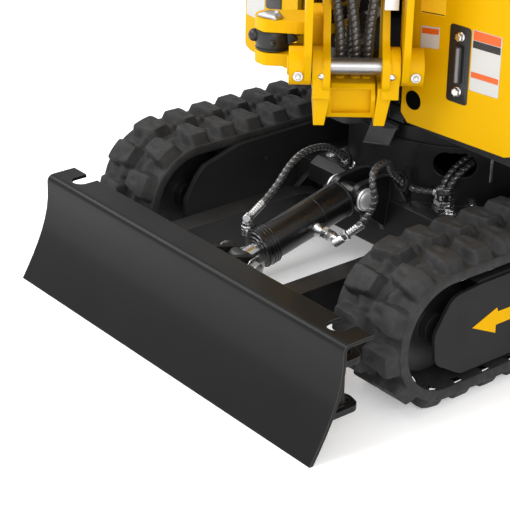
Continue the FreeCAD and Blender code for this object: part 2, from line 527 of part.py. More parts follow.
# ---------------------------------------------------------------- swing post (boom straight ahead)
def make_swing_post():
    s = []
    barrel = cyl((0, KING_Y, 440), (0, KING_Y, 518), 46)
    block = plate_w([(0, 456), (0, 512), (110, 520, 6), (150, 520, 6), (176, 500, 12), (160, 456)], -52, 38)
    pocket = plate_w([(150, 465), (150, 512), (200, 512), (200, 465)], -44, 30)
    block = block.cut(pocket)
    legL = plate_y([(-44, 520), (-76, 520), (-77, 446), (-57, 446)], KING_Y-178, KING_Y-40)
    legR = plate_y([(42, 520), (70, 520), (56, 446), (36, 446)], KING_Y-178, KING_Y-40)
    s += [barrel, block, legL, legR, box(-70, 60, KING_Y-120, KING_Y-20, 456, 512)]
    for sx in (1, -1):
        ear = plate_w([(60, 512), (70, 560, 10), (52, 700, 8), (58, 748, 24), (106, 748, 24), (112, 690, 20), (150, 600, 30), (190, 575, 20), (190, 512, 20)], 48, 62)
        boss = cw(S0, Z0, 48, 82, 37)
        web = plate_w([(70, 500), (70, 530, 10), (118, 545), (184, 560), (184, 500)], 48, 80)
        e = fuse(ear, boss, web)
        s.append(e if sx > 0 else mirror_x(e))
    # swing cylinder clevis on the right
    w, sC, zc = SWING_CLEVIS
    for z0, z1 in ((zc+21, zc+45), (zc-45, zc-21)):
        arm = plate_z([(-60, KING_Y-104), (-110, KING_Y-104, 10), (w+10, KING_Y-sC-36, 10), (w-20, KING_Y-sC-33, 16), (w-33, KING_Y-sC, 16), (w-20, KING_Y-sC+30, 16), (w+20, KING_Y-sC+30, 16), (-90, KING_Y-30, 10), (-60, KING_Y-30)], z0, z1)
        arm = fuse(arm, cyl((w, KING_Y-sC, z0), (w, KING_Y-sC, z1), 34))
        s.append(arm)
    s.append(plate_w([(30, 500), (30, 640, 10), (104, 640, 10), (104, 500)], -90, -62))
    s.append(box(-80, -48, KING_Y-104, KING_Y-30, 500, 545))
    for w_, s_ in ((-27, 114), (2, 114), (-10, 94), (24, 114)):
        s.append(cyl(bp(s_, 505, w_), bp(s_, 530, w_), 9.8))
    body = fuse(*s)
    body = body.cut(cyl((0, KING_Y, 430), (0, KING_Y, 700), 25.3))
    body = body.cut(cyl((0, KING_Y, 519), (0, KING_Y, 570), 95).common(box(-95, 95, KING_Y-60, KING_Y+95, 519, 570)))
    body = body.cut(cw(S0, Z0, -90, 90, 16.1))
    body = body.cut(cw(BOOM_CYL_BASE[0], BOOM_CYL_BASE[1], -90, 90, 12.1))
    for a_, b_ in ((47.5, 66), (-66, -47.5)):
        body = fuse(body, cw(BOOM_CYL_BASE[0], BOOM_CYL_BASE[1], a_, b_, 13))
    # throat for the rod eye
    body = body.cut(cyl((w, KING_Y-sC, zc-20.5), (w, KING_Y-sC, zc+20.5), 62))
    return body
sp = make_swing_post()
node("swing_post", swung(sp))
node("boom_foot_pin", swung(cw(S0, Z0, -128, 128, 16)))
cap = fuse(cyl((SWING_CLEVIS[0], KING_Y-SWING_CLEVIS[1], SWING_CLEVIS[2]+45), (SWING_CLEVIS[0], KING_Y-SWING_CLEVIS[1], SWING_CLEVIS[2]+55), 24))
node("swing_pin_cap", swung(cap))

# swing cylinder, in the house frame
th = rad(SWING)
def world(w, s, z=0.0, a=th):
    return (w*math.cos(a)+s*math.sin(a), KING_Y+w*math.sin(a)-s*math.cos(a), z)
cl = world(SWING_CLEVIS[0], SWING_CLEVIS[1], SWING_CLEVIS[2])
b3 = (SWING_BASE[0], SWING_BASE[1], SWING_CLEVIS[2])
bb, rr = cylinder_pair(b3, cl, 330, 30, 14, 38, 24, (0, 0, 1), 30, stroke_in=270.0)
node("swing_cylinder_barrel", bb)
node("swing_cylinder_rod", rr)

# ---------------------------------------------------------------- boom (straight ahead, then swung)
def off_line(p, q, d):
    dx, dz = q[0]-p[0], q[1]-p[1]; L = math.hypot(dx, dz)
    return (-dz/L*d, dx/L*d)

def make_boom():
    a1 = rad(FOOT_ANGLE); u1 = (math.cos(a1), math.sin(a1)); n1 = (-math.sin(a1), math.cos(a1))
    dx, dz = P1[0]-BEND[0], P1[1]-BEND[1]; L2 = math.hypot(dx, dz); u2 = (dx/L2, dz/L2); n2 = (-u2[1], u2[0])
    def q1(a, b): return (P0[0]+u1[0]*a+n1[0]*b, P0[1]+u1[1]*a+n1[1]*b)
    def q2(a, b): return (BEND[0]+u2[0]*a+n2[0]*b, BEND[1]+u2[1]*a+n2[1]*b)
    # side plates of the fork
    fork = [q1(-30, -30)+(30,), q1(40, -60)+(40,), q1(330, -85), q1(330, 60), q1(30, 36)+(20,), q1(-30, 30)+(30,)]
    s = []
    for sx in (1, -1):
        f = plate_w(fork, 84, 97)
        bs = cw(S0, Z0, 84, 125, 36)
        e = fuse(f, bs)
        s.append(e if sx > 0 else mirror_x(e))
    outer = [q1(215, -75), q1(430, -92)+(60,), q2(-20, -110)+(60,), q2(150, -98), q2(L2-60, -52)+(20,), q2(L2+38, -38)+(38,), q2(L2+38, 38)+(38,), q2(L2-60, 44), q2(170, 74)+(60,), q2(0, 68)+(40,), q1(590, 62)+(20,), q1(555, 55)+(20,), q1(400, 43), q1(250, 31)]
    box_ = plate_w(outer, -70, 70)
    innr = [q1(200, -60), q1(240, -62), q1(430, -78), q2(-20, -96), q2(150, -84), q2(L2-90, -44), q2(L2-90, 34), q2(170, 60), q2(0, 52), q1(580, 46), q1(550, 42), q1(400, 31), q1(250, 20), q1(200, 18)]
    box_ = box_.cut(plate_w(innr, -62, 62))
    s.append(box_)
    # wide part joins the fork
    wide = plate_w([q1(230, -78), q1(330, -85), q1(330, 37), q1(245, 31)], -97, 97).cut(plate_w([q1(220, -66), q1(322, -72), q1(322, 26), q1(220, 19)], -84, 84))
    wide = wide.cut(plate_w([q1(310, -72), q1(340, -72), q1(340, 26), q1(310, 26)], -62, 62))
    s.append(wide)
    # bulkhead inside where the hoses end
    s.append(plate_w([q1(300, -64), q1(308, -65), q1(308, 28), q1(300, 27)], -64, 64))
    # cylinder lugs
    for sx in (1, -1):
        l1 = plate_w([q1(430, 30), (BOOM_CYL_TOP[0]-28, BOOM_CYL_TOP[1]-6, 20), (BOOM_CYL_TOP[0]-2, BOOM_CYL_TOP[1]+30, 20), (BOOM_CYL_TOP[0]+32, BOOM_CYL_TOP[1]+14, 20), q2(110, 40)], 39.5, 53)
        l2 = plate_w([(ARM_CYL_BASE[0]-60, ARM_CYL_BASE[1]-120), (ARM_CYL_BASE[0]-26, ARM_CYL_BASE[1]+22, 20), (ARM_CYL_BASE[0]+26, ARM_CYL_BASE[1]+24, 20), (ARM_CYL_BASE[0]+110, ARM_CYL_BASE[1]-130)], 39.5, 53)
        for l in (l1, l2):
            s.append(l if sx > 0 else mirror_x(l))
        for c in (BOOM_CYL_TOP, ARM_CYL_BASE):
            s.append(cw(c[0], c[1], sx*40, sx*60, 13) if sx > 0 else cw(c[0], c[1], -60, -40, 13))
    s.append(cw(P1[0], P1[1], -92, 92, 41))
    body = fuse(*s)
    # the arm's fork end is inside a slot at the tip
    slot = plate_w([q2(L2-185, -90), q2(L2+70, -90), q2(L2+70, 80), q2(L2-150, 80), q2(L2-150, 18)], -42.5, 42.5)
    body = body.cut(slot)
    body = body.cut(cw(P1[0], P1[1], -120, 120, 14.3))
    body = body.cut(cw(S0, Z0, -130, 130, 16.1))
    return body
boom = make_boom()
node("boom", put_boom(boom))
node("boom_tip_pin", put_boom(cw(P1[0], P1[1], -98, 98, 14)))

bb, rr = cylinder_pair(bp(*BOOM_CYL_BASE), bp(*pose_boom(BOOM_CYL_TOP)), 380, 30, 16, 92, 26, (1, 0, 0), 26, 76, stroke_in=8.0)
node("boom_cylinder_barrel", swung(bb)); node("boom_cylinder_rod", swung(rr))
bb, rr = cylinder_pair(bp(*pose_boom(ARM_CYL_BASE)), bp(*pose_arm(ARM_CYL_TOP)), 430, 32, 15, 76, 24, (1, 0, 0), 22, 56, stroke_in=82.0)
node("arm_cylinder_barrel", swung(bb)); node("arm_cylinder_rod", swung(rr))

# ---------------------------------------------------------------- arm
aa = rad(ARM_ANGLE); ua = (math.cos(aa), math.sin(aa)); na = (-ua[1], ua[0])     # na points away from the machine
def qa(a, b): return (P1[0]+ua[0]*a+na[0]*b, P1[1]+ua[1]*a+na[1]*b)
ROCK = qa(ARM_LEN-148.8, 8)
BKT_CYL_BASE = qa(-60, 128)
def make_arm():
    prof = [qa(-170, 92)+(26,), qa(-176, 40)+(26,), qa(-60, -44)+(30,), qa(40, -50)+(30,), qa(ARM_LEN-180, -34), qa(ARM_LEN+32, -32)+(32,), qa(ARM_LEN+32, 32)+(32,), qa(ARM_LEN-120, 34), qa(520, 34), qa(400, 46)+(40,), qa(40, 66)+(40,), qa(-60, 150)+(26,), qa(-100, 150)+(26,)]
    b = plate_w(prof, -40, 40)
    inn = [qa(60, -38), qa(ARM_LEN-190, -24), qa(ARM_LEN-190, 22), qa(520, 22), qa(400, 34), qa(60, 53)]
    b = b.cut(plate_w(inn, -32, 32))
    # throat for the cylinder eyes
    t = (0.632, -0.775); n = (-0.775, -0.632)
    cut = [qa(n[0]*d0+t[0]*e0, n[1]*d0+t[1]*e0) for d0, e0 in ((44, 200), (44, -230), (260, -230), (260, 200))]
    b = b.cut(plate_w(cut, -30, 30)).cut(cw(*qa(-140.4, 67), -30, 30, 28))
    b = b.cut(plate_w([qa(-115, 90), qa(-20, 90), qa(40, 72), qa(60, 70), qa(60, 200), qa(-115, 200)], -30, 30))
    b = b.cut(cw(BKT_CYL_BASE[0], BKT_CYL_BASE[1], -30, 30, 32))
    b = b.cut(cw(P1[0], P1[1], -60, 60, 14.3)).cut(cw(P2[0], P2[1], -60, 60, 12.3)).cut(cw(ROCK[0], ROCK[1], -60, 60, 10.3))
    b = b.cut(plate_w([qa(-225, 56), qa(-118, 56), qa(-118, 74), qa(-150, 175), qa(-225, 175)], -30, 30))
    for c, r in ((ARM_CYL_TOP, 12), (BKT_CYL_BASE, 12)):
        b = fuse(b, cw(c[0], c[1], 31, 46, r), cw(c[0], c[1], -46, -31, r))
    return b
node("arm", put_arm(make_arm()))

# ---------------------------------------------------------------- bucket
def pb(a, b): return (P2[0]+a, P2[1]+b)
B_PIN = (103.5, 19.4)    # link pin on the bucket, from the arm pin
def make_bucket():
    H = BUCKET_W/2
    side = [pb(-92, -78), pb(-352, -322), pb(-330, -337), pb(-70, -337)+(120,), pb(130, -262)+(90,), pb(140, -110)+(30,), pb(100, -84)+(20,), pb(-60, -62)]
    sh = plate_w(side, -H, H)
    cav = plate_w([pb(-140, -40), pb(-420, -300), pb(-350, -329), pb(-72, -329)+(112,), pb(122, -257)+(83,), pb(131, -116)+(23,), pb(98, -93), pb(-75, -72)], -H+8, H-8)
    b = sh.cut(cav)
    # hanger ears
    for sx in (1, -1):
        e = plate_w([pb(-70, -70), pb(-34, 16)+(20,), pb(-6, 34)+(20,), pb(34, 36)+(20,), pb(B_PIN[0]-6, B_PIN[1]+25)+(18,), pb(B_PIN[0]+26, B_PIN[1]+16)+(20,), pb(B_PIN[0]+25, B_PIN[1]-30)+(24,), pb(136, -112), pb(60, -86)], 44, 56)
        b = b.fuse(e if sx > 0 else mirror_x(e))
    b = b.cut(cw(P2[0], P2[1], -60, 60, 12.3))
    # lip, teeth
    t = [plate_w([pb(-356, -326), pb(-300, -337), pb(-300, -325), pb(-350, -314)], -H, H)]
    for w in (-130, -48, 48, 130):
        t.append(plate_w([pb(-340, -312), pb(-412, -330), pb(-412, -335), pb(-340, -337)], w-16, w+16))
    return fuse(b, *t)
node("bucket", put_bucket(make_bucket()))
node("bucket_pins", put_arm(cw(P2[0], P2[1], -62, 62, 12)))

# rocker and link, worked out in the arm's own drawing and then posed with it
RL = 110.2               # rocker length
LK = 148.65
B = turn(pb(*B_PIN), P2, -CURL)
dx, dz = B[0]-ROCK[0], B[1]-ROCK[1]; D = math.hypot(dx, dz)
aa_ = (RL*RL-LK*LK+D*D)/(2*D); hh = math.sqrt(RL*RL-aa_*aa_)
T1 = (ROCK[0]+dx/D*aa_ - dz/D*hh, ROCK[1]+dz/D*aa_ + dx/D*hh)
T2 = (ROCK[0]+dx/D*aa_ + dz/D*hh, ROCK[1]+dz/D*aa_ - dx/D*hh)
TIP = T1 if (T1[0]*na[0]+T1[1]*na[1]) > (T2[0]*na[0]+T2[1]*na[1]) else T2
def bar(p, q, w0, w1, r0, r1):
    o = (q[0]-p[0], q[1]-p[1]); L = math.hypot(*o); n = (-o[1]/L, o[0]/L)
    b = plate_w([(p[0]+n[0]*r0*0.8, p[1]+n[1]*r0*0.8), (q[0]+n[0]*r1*0.8, q[1]+n[1]*r1*0.8), (q[0]-n[0]*r1*0.8, q[1]-n[1]*r1*0.8), (p[0]-n[0]*r0*0.8, p[1]-n[1]*r0*0.8)], w0, w1)
    return fuse(b, cw(p[0], p[1], w0, w1, r0), cw(q[0], q[1], w0, w1, r1))
r1 = bar(ROCK, TIP, 41, 51, 20, 20); r2 = mirror_x(r1)
rocker = fuse(r1, r2, cw(TIP[0], TIP[1], 41, 66, 10), cw(TIP[0], TIP[1], -66, -41, 10), cw(ROCK[0], ROCK[1], -51, 51, 10))
node("bucket_rocker", put_arm(rocker))
l1 = bar(TIP, B, 57, 66, 19, 19).cut(cw(TIP[0], TIP[1], -80, 80, 10.3))
node("bucket_link", put_arm(compound([l1, mirror_x(l1)])))
bb, rr = cylinder_pair(bp(*BKT_CYL_BASE), bp(*TIP), 520, 24, 13, 56, 22, (1, 0, 0), 20, 76, stroke_in=196.0)
node("bucket_cylinder_barrel", put_arm(bb)); node("bucket_cylinder_rod", put_arm(rr))

# ---------------------------------------------------------------- hoses
def hose(name, pts, dia):
    """straight runs joined by tangent arcs"""
    P = [V(*p) for p in pts]; n = len(P); ed = []; cur = P[0]; rads = []
    for i in range(1, n-1):
        a, b, c = P[i-1], P[i], P[i+1]
        u = a.sub(b); v = c.sub(b); lu, lv = u.Length, v.Length
        u = u.multiply(1/lu); v = v.multiply(1/lv)
        half = (math.pi-u.getAngle(v))/2
        t = 0.45*min(lu, lv); r = t/math.tan(half); rads.append(r)
        s_ = b.add(V(u).multiply(t)); e_ = b.add(V(v).multiply(t))
        bis = u.add(v); bis = bis.multiply(1/bis.Length)
        m = b.add(V(bis).multiply(r/math.cos(half)-r))
        ed.append(Part.LineSegment(cur, s_).toShape()); ed.append(Part.Arc(s_, m, e_).toShape()); cur = e_
    ed.append(Part.LineSegment(cur, P[-1]).toShape())
    w = Part.Wire(ed); d = P[1].sub(P[0])
    prof = Part.Wire([Part.makeCircle(dia/2, P[0], d)])
    sh = w.makePipeShell([prof], True, False)
    if not sh.Solids:
        sh = Part.makeSolid(sh)
    print("HOSE %s length %.0f radii %s vol/len %.3f" % (name, w.Length, " ".join("%.0f" % r for r in rads), sh.Volume/(math.pi*dia*dia/4*w.Length)))
    node(name, sh)
    return w.Length

# boom hoses: from glands on the swing post up behind the foot pin into the boom's foot
BOOM_HOSES = (
    [(-27, 114, 530), (-27, 114, 600), (-42, 132, 690), (-42, 156, 790), (-40, 160, 852.5)],
    [(2, 114, 530), (2, 114, 600), (-15, 130, 690), (-16, 152, 790), (-15, 160, 852.5)],
    [(-10, 94, 530), (-10, 94, 600), (-1, 113, 690), (5, 141, 790), (5, 146, 852.5)],
    [(24, 114, 530), (24, 114, 600), (33, 130, 690), (34, 154, 790), (32, 160, 852.5)])
for i, r in enumerate(BOOM_HOSES):
    hose("boom_hose_%d" % (i+1), [world(*p) for p in r], 17.0)
# blade cylinder hoses on the undercarriage
hose("blade_hose_front", [(-40, -540, 221), (-45, -476, 256), (-51, -431, 300), (-62, -384, 316), (-70, -332, 312), (-78, -296, 297), (-80, -264, 272), (-82, -240, 245)], 12.5)
hose("blade_hose_rear", [(118, -424, 208), (163, -382, 262), (150, -400, 346), (120, -322, 344), (86, -284, 298), (80, -245, 263), (102, -225, 246), (140, -202, 250)], 12.5)
hose("feed_hose_1", [(164, -198, 256), (166, -192, 274), (172, -170, 298), (168, -136, 306), (157, -104, 303)], 12.5)
hose("feed_hose_2", [(149, -200, 256), (150, -191, 280), (152, -156, 306), (150, -116, 314)], 12.5)

# ---------------------------------------------------------------- write
os.makedirs("parts", exist_ok=True)
for f in os.listdir("parts"):
    if f.endswith(".step"):
        os.remove(os.path.join("parts", f))
bbx = None
lim = [b for b in (sh.optimalBoundingBox(False) for sh in NODES.values())]
SHIFT_X = round(-(min(b.XMin for b in lim)+max(b.XMax for b in lim))/2, 2)
SHIFT_Y = round(-(min(b.YMin for b in lim)+max(b.YMax for b in lim))/2, 2)
print("SHIFT %.2f %.2f" % (SHIFT_X, SHIFT_Y))
for name, sh in NODES.items():
    sh = sh.copy(); sh.translate(V(SHIFT_X, SHIFT_Y, 0))
    if not sh.isValid():
        print("INVALID", name)
    if len(sh.Solids) == 0:
        print("NO SOLID", name)
    sh.exportStep("parts/%s.step" % name)
    b = sh.BoundBox
    bbx = b if bbx is None else bbx.united(b)
    print("%-24s solids %d vol %.1f cm3  x %.0f..%.0f y %.0f..%.0f z %.0f..%.0f" % (name, len(sh.Solids), sh.Volume/1000, b.XMin, b.XMax, b.YMin, b.YMax, b.ZMin, b.ZMax))
print("box", bbx)
print("TIP", TIP, "ROCK", ROCK, "B", B, "BKT_CYL_BASE", BKT_CYL_BASE, "BEND", BEND, "PITCH", PITCH)
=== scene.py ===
import bpy, bmesh, json, math
from mathutils import Vector, Matrix, noise


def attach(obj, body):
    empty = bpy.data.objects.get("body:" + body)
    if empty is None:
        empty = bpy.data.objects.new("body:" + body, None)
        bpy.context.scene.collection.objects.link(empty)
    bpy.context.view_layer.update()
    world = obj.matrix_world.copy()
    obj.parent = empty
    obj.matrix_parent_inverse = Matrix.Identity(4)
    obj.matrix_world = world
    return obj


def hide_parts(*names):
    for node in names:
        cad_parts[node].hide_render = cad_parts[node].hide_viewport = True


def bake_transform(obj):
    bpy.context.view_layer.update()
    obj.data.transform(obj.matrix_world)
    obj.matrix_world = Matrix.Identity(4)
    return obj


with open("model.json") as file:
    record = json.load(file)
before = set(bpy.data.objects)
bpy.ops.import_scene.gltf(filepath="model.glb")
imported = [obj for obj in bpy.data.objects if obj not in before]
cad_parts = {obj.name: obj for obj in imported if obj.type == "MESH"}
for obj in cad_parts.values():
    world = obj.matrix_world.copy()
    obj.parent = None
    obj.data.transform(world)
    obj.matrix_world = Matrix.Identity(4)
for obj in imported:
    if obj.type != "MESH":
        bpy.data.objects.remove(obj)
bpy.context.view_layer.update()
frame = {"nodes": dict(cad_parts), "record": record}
N = frame["nodes"]; REC = frame["record"]
JOINTS = {j["name"]: j for j in REC["behaviour"]["joints"]}
OX, OY, _z = JOINTS["house_slew"]["pos_m"]
SCN = bpy.context.scene
SW = math.radians(50.7)
KY = -320.0


def M(x, y, z):
    """machine millimetres (slew axis origin) to the row frame in metres"""
    return Vector((x / 1000 + OX, y / 1000 + OY, z / 1000))


def W(w, s, z):
    """boom plane millimetres (sideways, forward of the king pin, up) to machine millimetres"""
    return Vector((w * math.cos(SW) + s * math.sin(SW), KY + w * math.sin(SW) - s * math.cos(SW), z))


def Wd(w, s, z):
    return Vector((w * math.cos(SW) + s * math.sin(SW), w * math.sin(SW) - s * math.cos(SW), z))


# ------------------------------------------------------------------ camera
AZ, EL, ROLL = math.radians(50.73), math.radians(25.74), math.radians(0.92)
back = Vector((math.sin(AZ) * math.cos(EL), -math.cos(AZ) * math.cos(EL), math.sin(EL)))
fwd = -back
right = fwd.cross(Vector((0, 0, 1))).normalized()
down = fwd.cross(right)
r2 = right * math.cos(ROLL) - down * math.sin(ROLL)
d2 = right * math.sin(ROLL) + down * math.cos(ROLL)
cd = bpy.data.cameras.new("camera")
cam = bpy.data.objects.new("camera", cd)
SCN.collection.objects.link(cam)
m = Matrix((r2, -d2, back)).transposed().to_4x4()
m.translation = M(2401.05, -1712.45 - 806.0, 1654.47)
cam.matrix_world = m
cd.sensor_width = 36.0
cd.lens = 36.0 * 1754.0 / 510.0
cd.clip_start = 0.05
SCN.camera = cam
SCN.view_settings.view_transform = "Standard"
SCN.view_settings.look = "None"

# ------------------------------------------------------------------ materials
MATS = {}


def mat(name, col, rough, metal=0.0, coat=0.0, var=0.12, vscale=9.0, bump=0.15, bscale=900.0, bdist=0.0004,
        edge_highlight=None, bevel=0.0012, rvar=0.08, spec=0.5, dust_and_top_light=None, streak=False):
    mt = bpy.data.materials.new(name); mt.use_nodes = True
    nt = mt.node_tree; L = nt.links.new; nd = nt.nodes
    p = nd["Principled BSDF"]
    p.inputs["Metallic"].default_value = metal
    p.inputs["Coat Weight"].default_value = coat
    p.inputs["Coat Roughness"].default_value = 0.12
    p.inputs["Specular IOR Level"].default_value = spec
    tc = nd.new("ShaderNodeTexCoord")
    co = tc.outputs["Object"]
    if streak:
        mp = nd.new("ShaderNodeMapping"); mp.inputs["Scale"].default_value = streak
        L(co, mp.inputs["Vector"]); co2 = mp.outputs["Vector"]
    else:
        co2 = co
    n1 = nd.new("ShaderNodeTexNoise"); n1.inputs["Scale"].default_value = vscale; n1.inputs["Detail"].default_value = 6
    n1.inputs["Roughness"].default_value = 0.6
    L(co2, n1.inputs["Vector"])
    mx = nd.new("ShaderNodeMix"); mx.data_type = "RGBA"
    mx.inputs[6].default_value = tuple(c * (1 - var) for c in col) + (1,)
    mx.inputs[7].default_value = tuple(min(1, c * (1 + var)) for c in col) + (1,)
    L(n1.outputs["Fac"], mx.inputs[0])
    out = mx.outputs[2]
    bv = nd.new("ShaderNodeBevel"); bv.samples = 6; bv.inputs["Radius"].default_value = bevel
    geo = nd.new("ShaderNodeNewGeometry")
    # dust_and_top_light: upward-facing faces mixed toward this colour with noise, partly dust and partly painted top
    # light
    if dust_and_top_light:
        sp = nd.new("ShaderNodeSeparateXYZ"); L(geo.outputs["Normal"], sp.inputs[0])
        mr = nd.new("ShaderNodeMapRange"); mr.inputs[1].default_value = 0.35; mr.inputs[2].default_value = 0.95
        mr.inputs[3].default_value = 0.0; mr.inputs[4].default_value = dust_and_top_light[3]
        L(sp.outputs["Z"], mr.inputs[0])
        n4 = nd.new("ShaderNodeTexNoise"); n4.inputs["Scale"].default_value = 30; n4.inputs["Detail"].default_value = 5
        L(co, n4.inputs["Vector"])
        mu = nd.new("ShaderNodeMath"); mu.operation = "MULTIPLY"; L(mr.outputs[0], mu.inputs[0]); L(n4.outputs["Fac"], mu.inputs[1])
        m3 = nd.new("ShaderNodeMix"); m3.data_type = "RGBA"; L(mu.outputs[0], m3.inputs[0]); L(out, m3.inputs[6])
        m3.inputs[7].default_value = tuple(dust_and_top_light[:3]) + (1,); out = m3.outputs[2]
    # edge_highlight: colour mixed in where the bevel-rounded normal turns away from the true normal, a painted
    # highlight along edges and folds
    if edge_highlight:
        dt = nd.new("ShaderNodeVectorMath"); dt.operation = "DOT_PRODUCT"
        L(bv.outputs["Normal"], dt.inputs[0]); L(geo.outputs["Normal"], dt.inputs[1])
        me = nd.new("ShaderNodeMapRange"); me.inputs[1].default_value = 0.985; me.inputs[2].default_value = 0.80
        me.inputs[3].default_value = 0.0; me.inputs[4].default_value = edge_highlight[3]
        L(dt.outputs["Value"], me.inputs[0])
        m4 = nd.new("ShaderNodeMix"); m4.data_type = "RGBA"; L(me.outputs[0], m4.inputs[0]); L(out, m4.inputs[6])
        m4.inputs[7].default_value = tuple(edge_highlight[:3]) + (1,); out = m4.outputs[2]
    L(out, p.inputs["Base Color"])
    n2 = nd.new("ShaderNodeTexNoise"); n2.inputs["Scale"].default_value = vscale * 2.3; n2.inputs["Detail"].default_value = 5
    L(co2, n2.inputs["Vector"])
    rr = nd.new("ShaderNodeMapRange"); rr.inputs[1].default_value = 0.3; rr.inputs[2].default_value = 0.7
    rr.inputs[3].default_value = max(0.02, rough - rvar); rr.inputs[4].default_value = min(1, rough + rvar)
    L(n2.outputs["Fac"], rr.inputs[0]); L(rr.outputs[0], p.inputs["Roughness"])
    n3 = nd.new("ShaderNodeTexNoise"); n3.inputs["Scale"].default_value = bscale; n3.inputs["Detail"].default_value = 3
    L(co2, n3.inputs["Vector"])
    bp = nd.new("ShaderNodeBump"); bp.inputs["Strength"].default_value = bump; bp.inputs["Distance"].default_value = bdist
    L(n3.outputs["Fac"], bp.inputs["Height"]); L(bv.outputs["Normal"], bp.inputs["Normal"])
    L(bp.outputs["Normal"], p.inputs["Normal"])
    MATS[name] = mt
    return mt


mat("rubber_track", (0.031, 0.031, 0.0313), 0.60, var=0.9, vscale=30, bump=0.7, bscale=380, bdist=0.0009, rvar=0.14, bevel=0.0035,
    edge_highlight=(0.062, 0.062, 0.062, 0.65), dust_and_top_light=(0.030, 0.0304, 0.0315, 0.7), spec=0.12)
mat("black_paint", (0.0075, 0.0075, 0.008), 0.36, var=0.2, vscale=7, bump=0.14, bscale=700, edge_highlight=(0.075, 0.075, 0.078, 0.6), bevel=0.0018,
    dust_and_top_light=(0.020, 0.020, 0.0205, 0.5), spec=0.4)
mat("cover_paint", (0.0150, 0.0152, 0.0157), 0.55, var=0.12, vscale=6, bump=0.16, bscale=800, edge_highlight=(0.055, 0.055, 0.055, 0.6), bevel=0.0018, spec=0.12)
mat("blade_paint", (0.0082, 0.0083, 0.0085), 0.40, coat=0.09, var=0.14, vscale=3, bump=0.12, bscale=500, edge_highlight=(0.10, 0.10, 0.10, 0.8), bevel=0.0026, spec=0.10,
    rvar=0.05)
mat("grey_paint", (0.030, 0.030, 0.031), 0.45, var=0.15, vscale=8, bump=0.15, bscale=700, edge_highlight=(0.12, 0.12, 0.12, 0.5))
mat("yellow_paint", (0.67, 0.372, 0.0003), 0.43, coat=0.0, var=0.03, vscale=4, bump=0.10, bscale=380, bdist=0.0003, rvar=0.05,
    edge_highlight=(0.94, 0.60, 0.006, 0.35), bevel=0.0024, spec=0.07)
mat("steel_pin", (0.58, 0.58, 0.59), 0.30, metal=1.0, var=0.18, vscale=60, bump=0.25, bscale=900, rvar=0.12)
mat("chrome_rod", (0.52, 0.52, 0.53), 0.22, metal=1.0, var=0.06, vscale=20, bump=0.08, bscale=1500, rvar=0.05)
mat("cylinder_black", (0.0045, 0.0045, 0.005), 0.30, coat=0.08, var=0.2, vscale=10, bump=0.14, bscale=400, rvar=0.07, edge_highlight=(0.10, 0.10, 0.10, 0.6))
mat("cast_black", (0.0095, 0.0095, 0.010), 0.42, var=0.3, vscale=20, bump=0.5, bscale=260, bdist=0.0006, edge_highlight=(0.06, 0.06, 0.06, 0.6))
mat("seat_vinyl", (0.008, 0.008, 0.0085), 0.5, var=0.15, vscale=20, bump=0.5, bscale=650, bdist=0.0006)
mat("plastic_black", (0.009, 0.009, 0.0095), 0.48, var=0.12, vscale=12, bump=0.35, bscale=900, bdist=0.0003, edge_highlight=(0.05, 0.05, 0.05, 0.4))
mat("hose_black", (0.034, 0.034, 0.035), 0.30, coat=0.7, var=0.25, vscale=40, bump=0.15, bscale=900, rvar=0.10)
mat("label_white", (0.54, 0.54, 0.525), 0.38, var=0.02, vscale=30, bump=0.03)
mat("label_orange", (0.66, 0.105, 0.01), 0.38, var=0.04, vscale=30, bump=0.03)
mat("label_black", (0.010, 0.010, 0.010), 0.38, var=0.06, vscale=30, bump=0.03)
mat("label_yellow", (0.90, 0.56, 0.02), 0.38, var=0.03, vscale=30, bump=0.03, spec=0.2)
mat("arrow_yellow", (0.68, 0.36, 0.0006), 0.5, var=0.04, vscale=30, bump=0.03, spec=0.04)
# near-black matte for the disc that paints the shade inside the cover's round hole
mat("hole_painted_shade", (0.0025, 0.0025, 0.0025), 0.9, var=0.3, vscale=60, bump=0.05, spec=0.02)
mat("cap_silver", (0.86, 0.86, 0.86), 0.46, metal=0.75, var=0.05, vscale=20, bump=0.06, bscale=600, rvar=0.04)
mat("satin_pin", (0.40, 0.40, 0.405), 0.36, metal=1.0, var=0.05, vscale=20, bump=0.06, bscale=600, rvar=0.04)
mat("glass_gauge", (0.10, 0.10, 0.105), 0.08, coat=1.0, var=0.1, vscale=20, bump=0.02)
mat("bright_steel", (0.74, 0.74, 0.75), 0.20, metal=1.0, var=0.10, vscale=50, bump=0.12, bscale=700)
mat("worn_steel", (0.34, 0.33, 0.32), 0.38, metal=1.0, var=0.25, vscale=40, bump=0.4, bscale=500)
mat("weld", (0.012, 0.012, 0.0125), 0.4, var=0.2, vscale=60, bump=0.6, bscale=300, bdist=0.0008)
mat("weld_yellow", (0.80, 0.42, 0.004), 0.4, var=0.06, vscale=60, bump=0.6, bscale=300, bdist=0.0008)
mat("lamp_red", (0.45, 0.01, 0.01), 0.2, coat=0.8, var=0.05, vscale=30, bump=0.05)

SL = {s["node"]: s["material_slot"] for s in REC["subparts"]}
PAINT = {"blade": "blade_paint", "left_track_frame": "cover_paint", "right_track_frame": "cover_paint", "boom_foot_pin": "satin_pin"}
for n, o in N.items():
    o.data.materials.clear(); o.data.materials.append(MATS[PAINT.get(n, SL[n])])
    if n.endswith("_rod"):
        # the eye and its neck are a black casting, only the rod itself is chromed
        o.data.materials.append(MATS["cast_black"])
        far = {"blade_cylinder_rod": M(0, -593, 160), "swing_cylinder_rod": M(*W(-155, 62, 578))}.get(n)
        if far is None:
            far = {"boom": W(0, 46.2, 1206.5)}.get(n.split("_")[0])
            far = M(*far) if far is not None else None
        if far is not None:
            mw = o.matrix_world
            for p_ in o.data.polygons:
                if ((mw @ p_.center) - far).length < (0.062 if n.startswith("blade") else 0.041):
                    p_.material_index = 1


# ------------------------------------------------------------------ mesh builder (machine millimetres)
def frame_of(d):
    d = Vector(d).normalized()
    a = Vector((0, 0, 1)) if abs(d.z) < 0.9 else Vector((1, 0, 0))
    u = d.cross(a).normalized(); return d, u, d.cross(u)


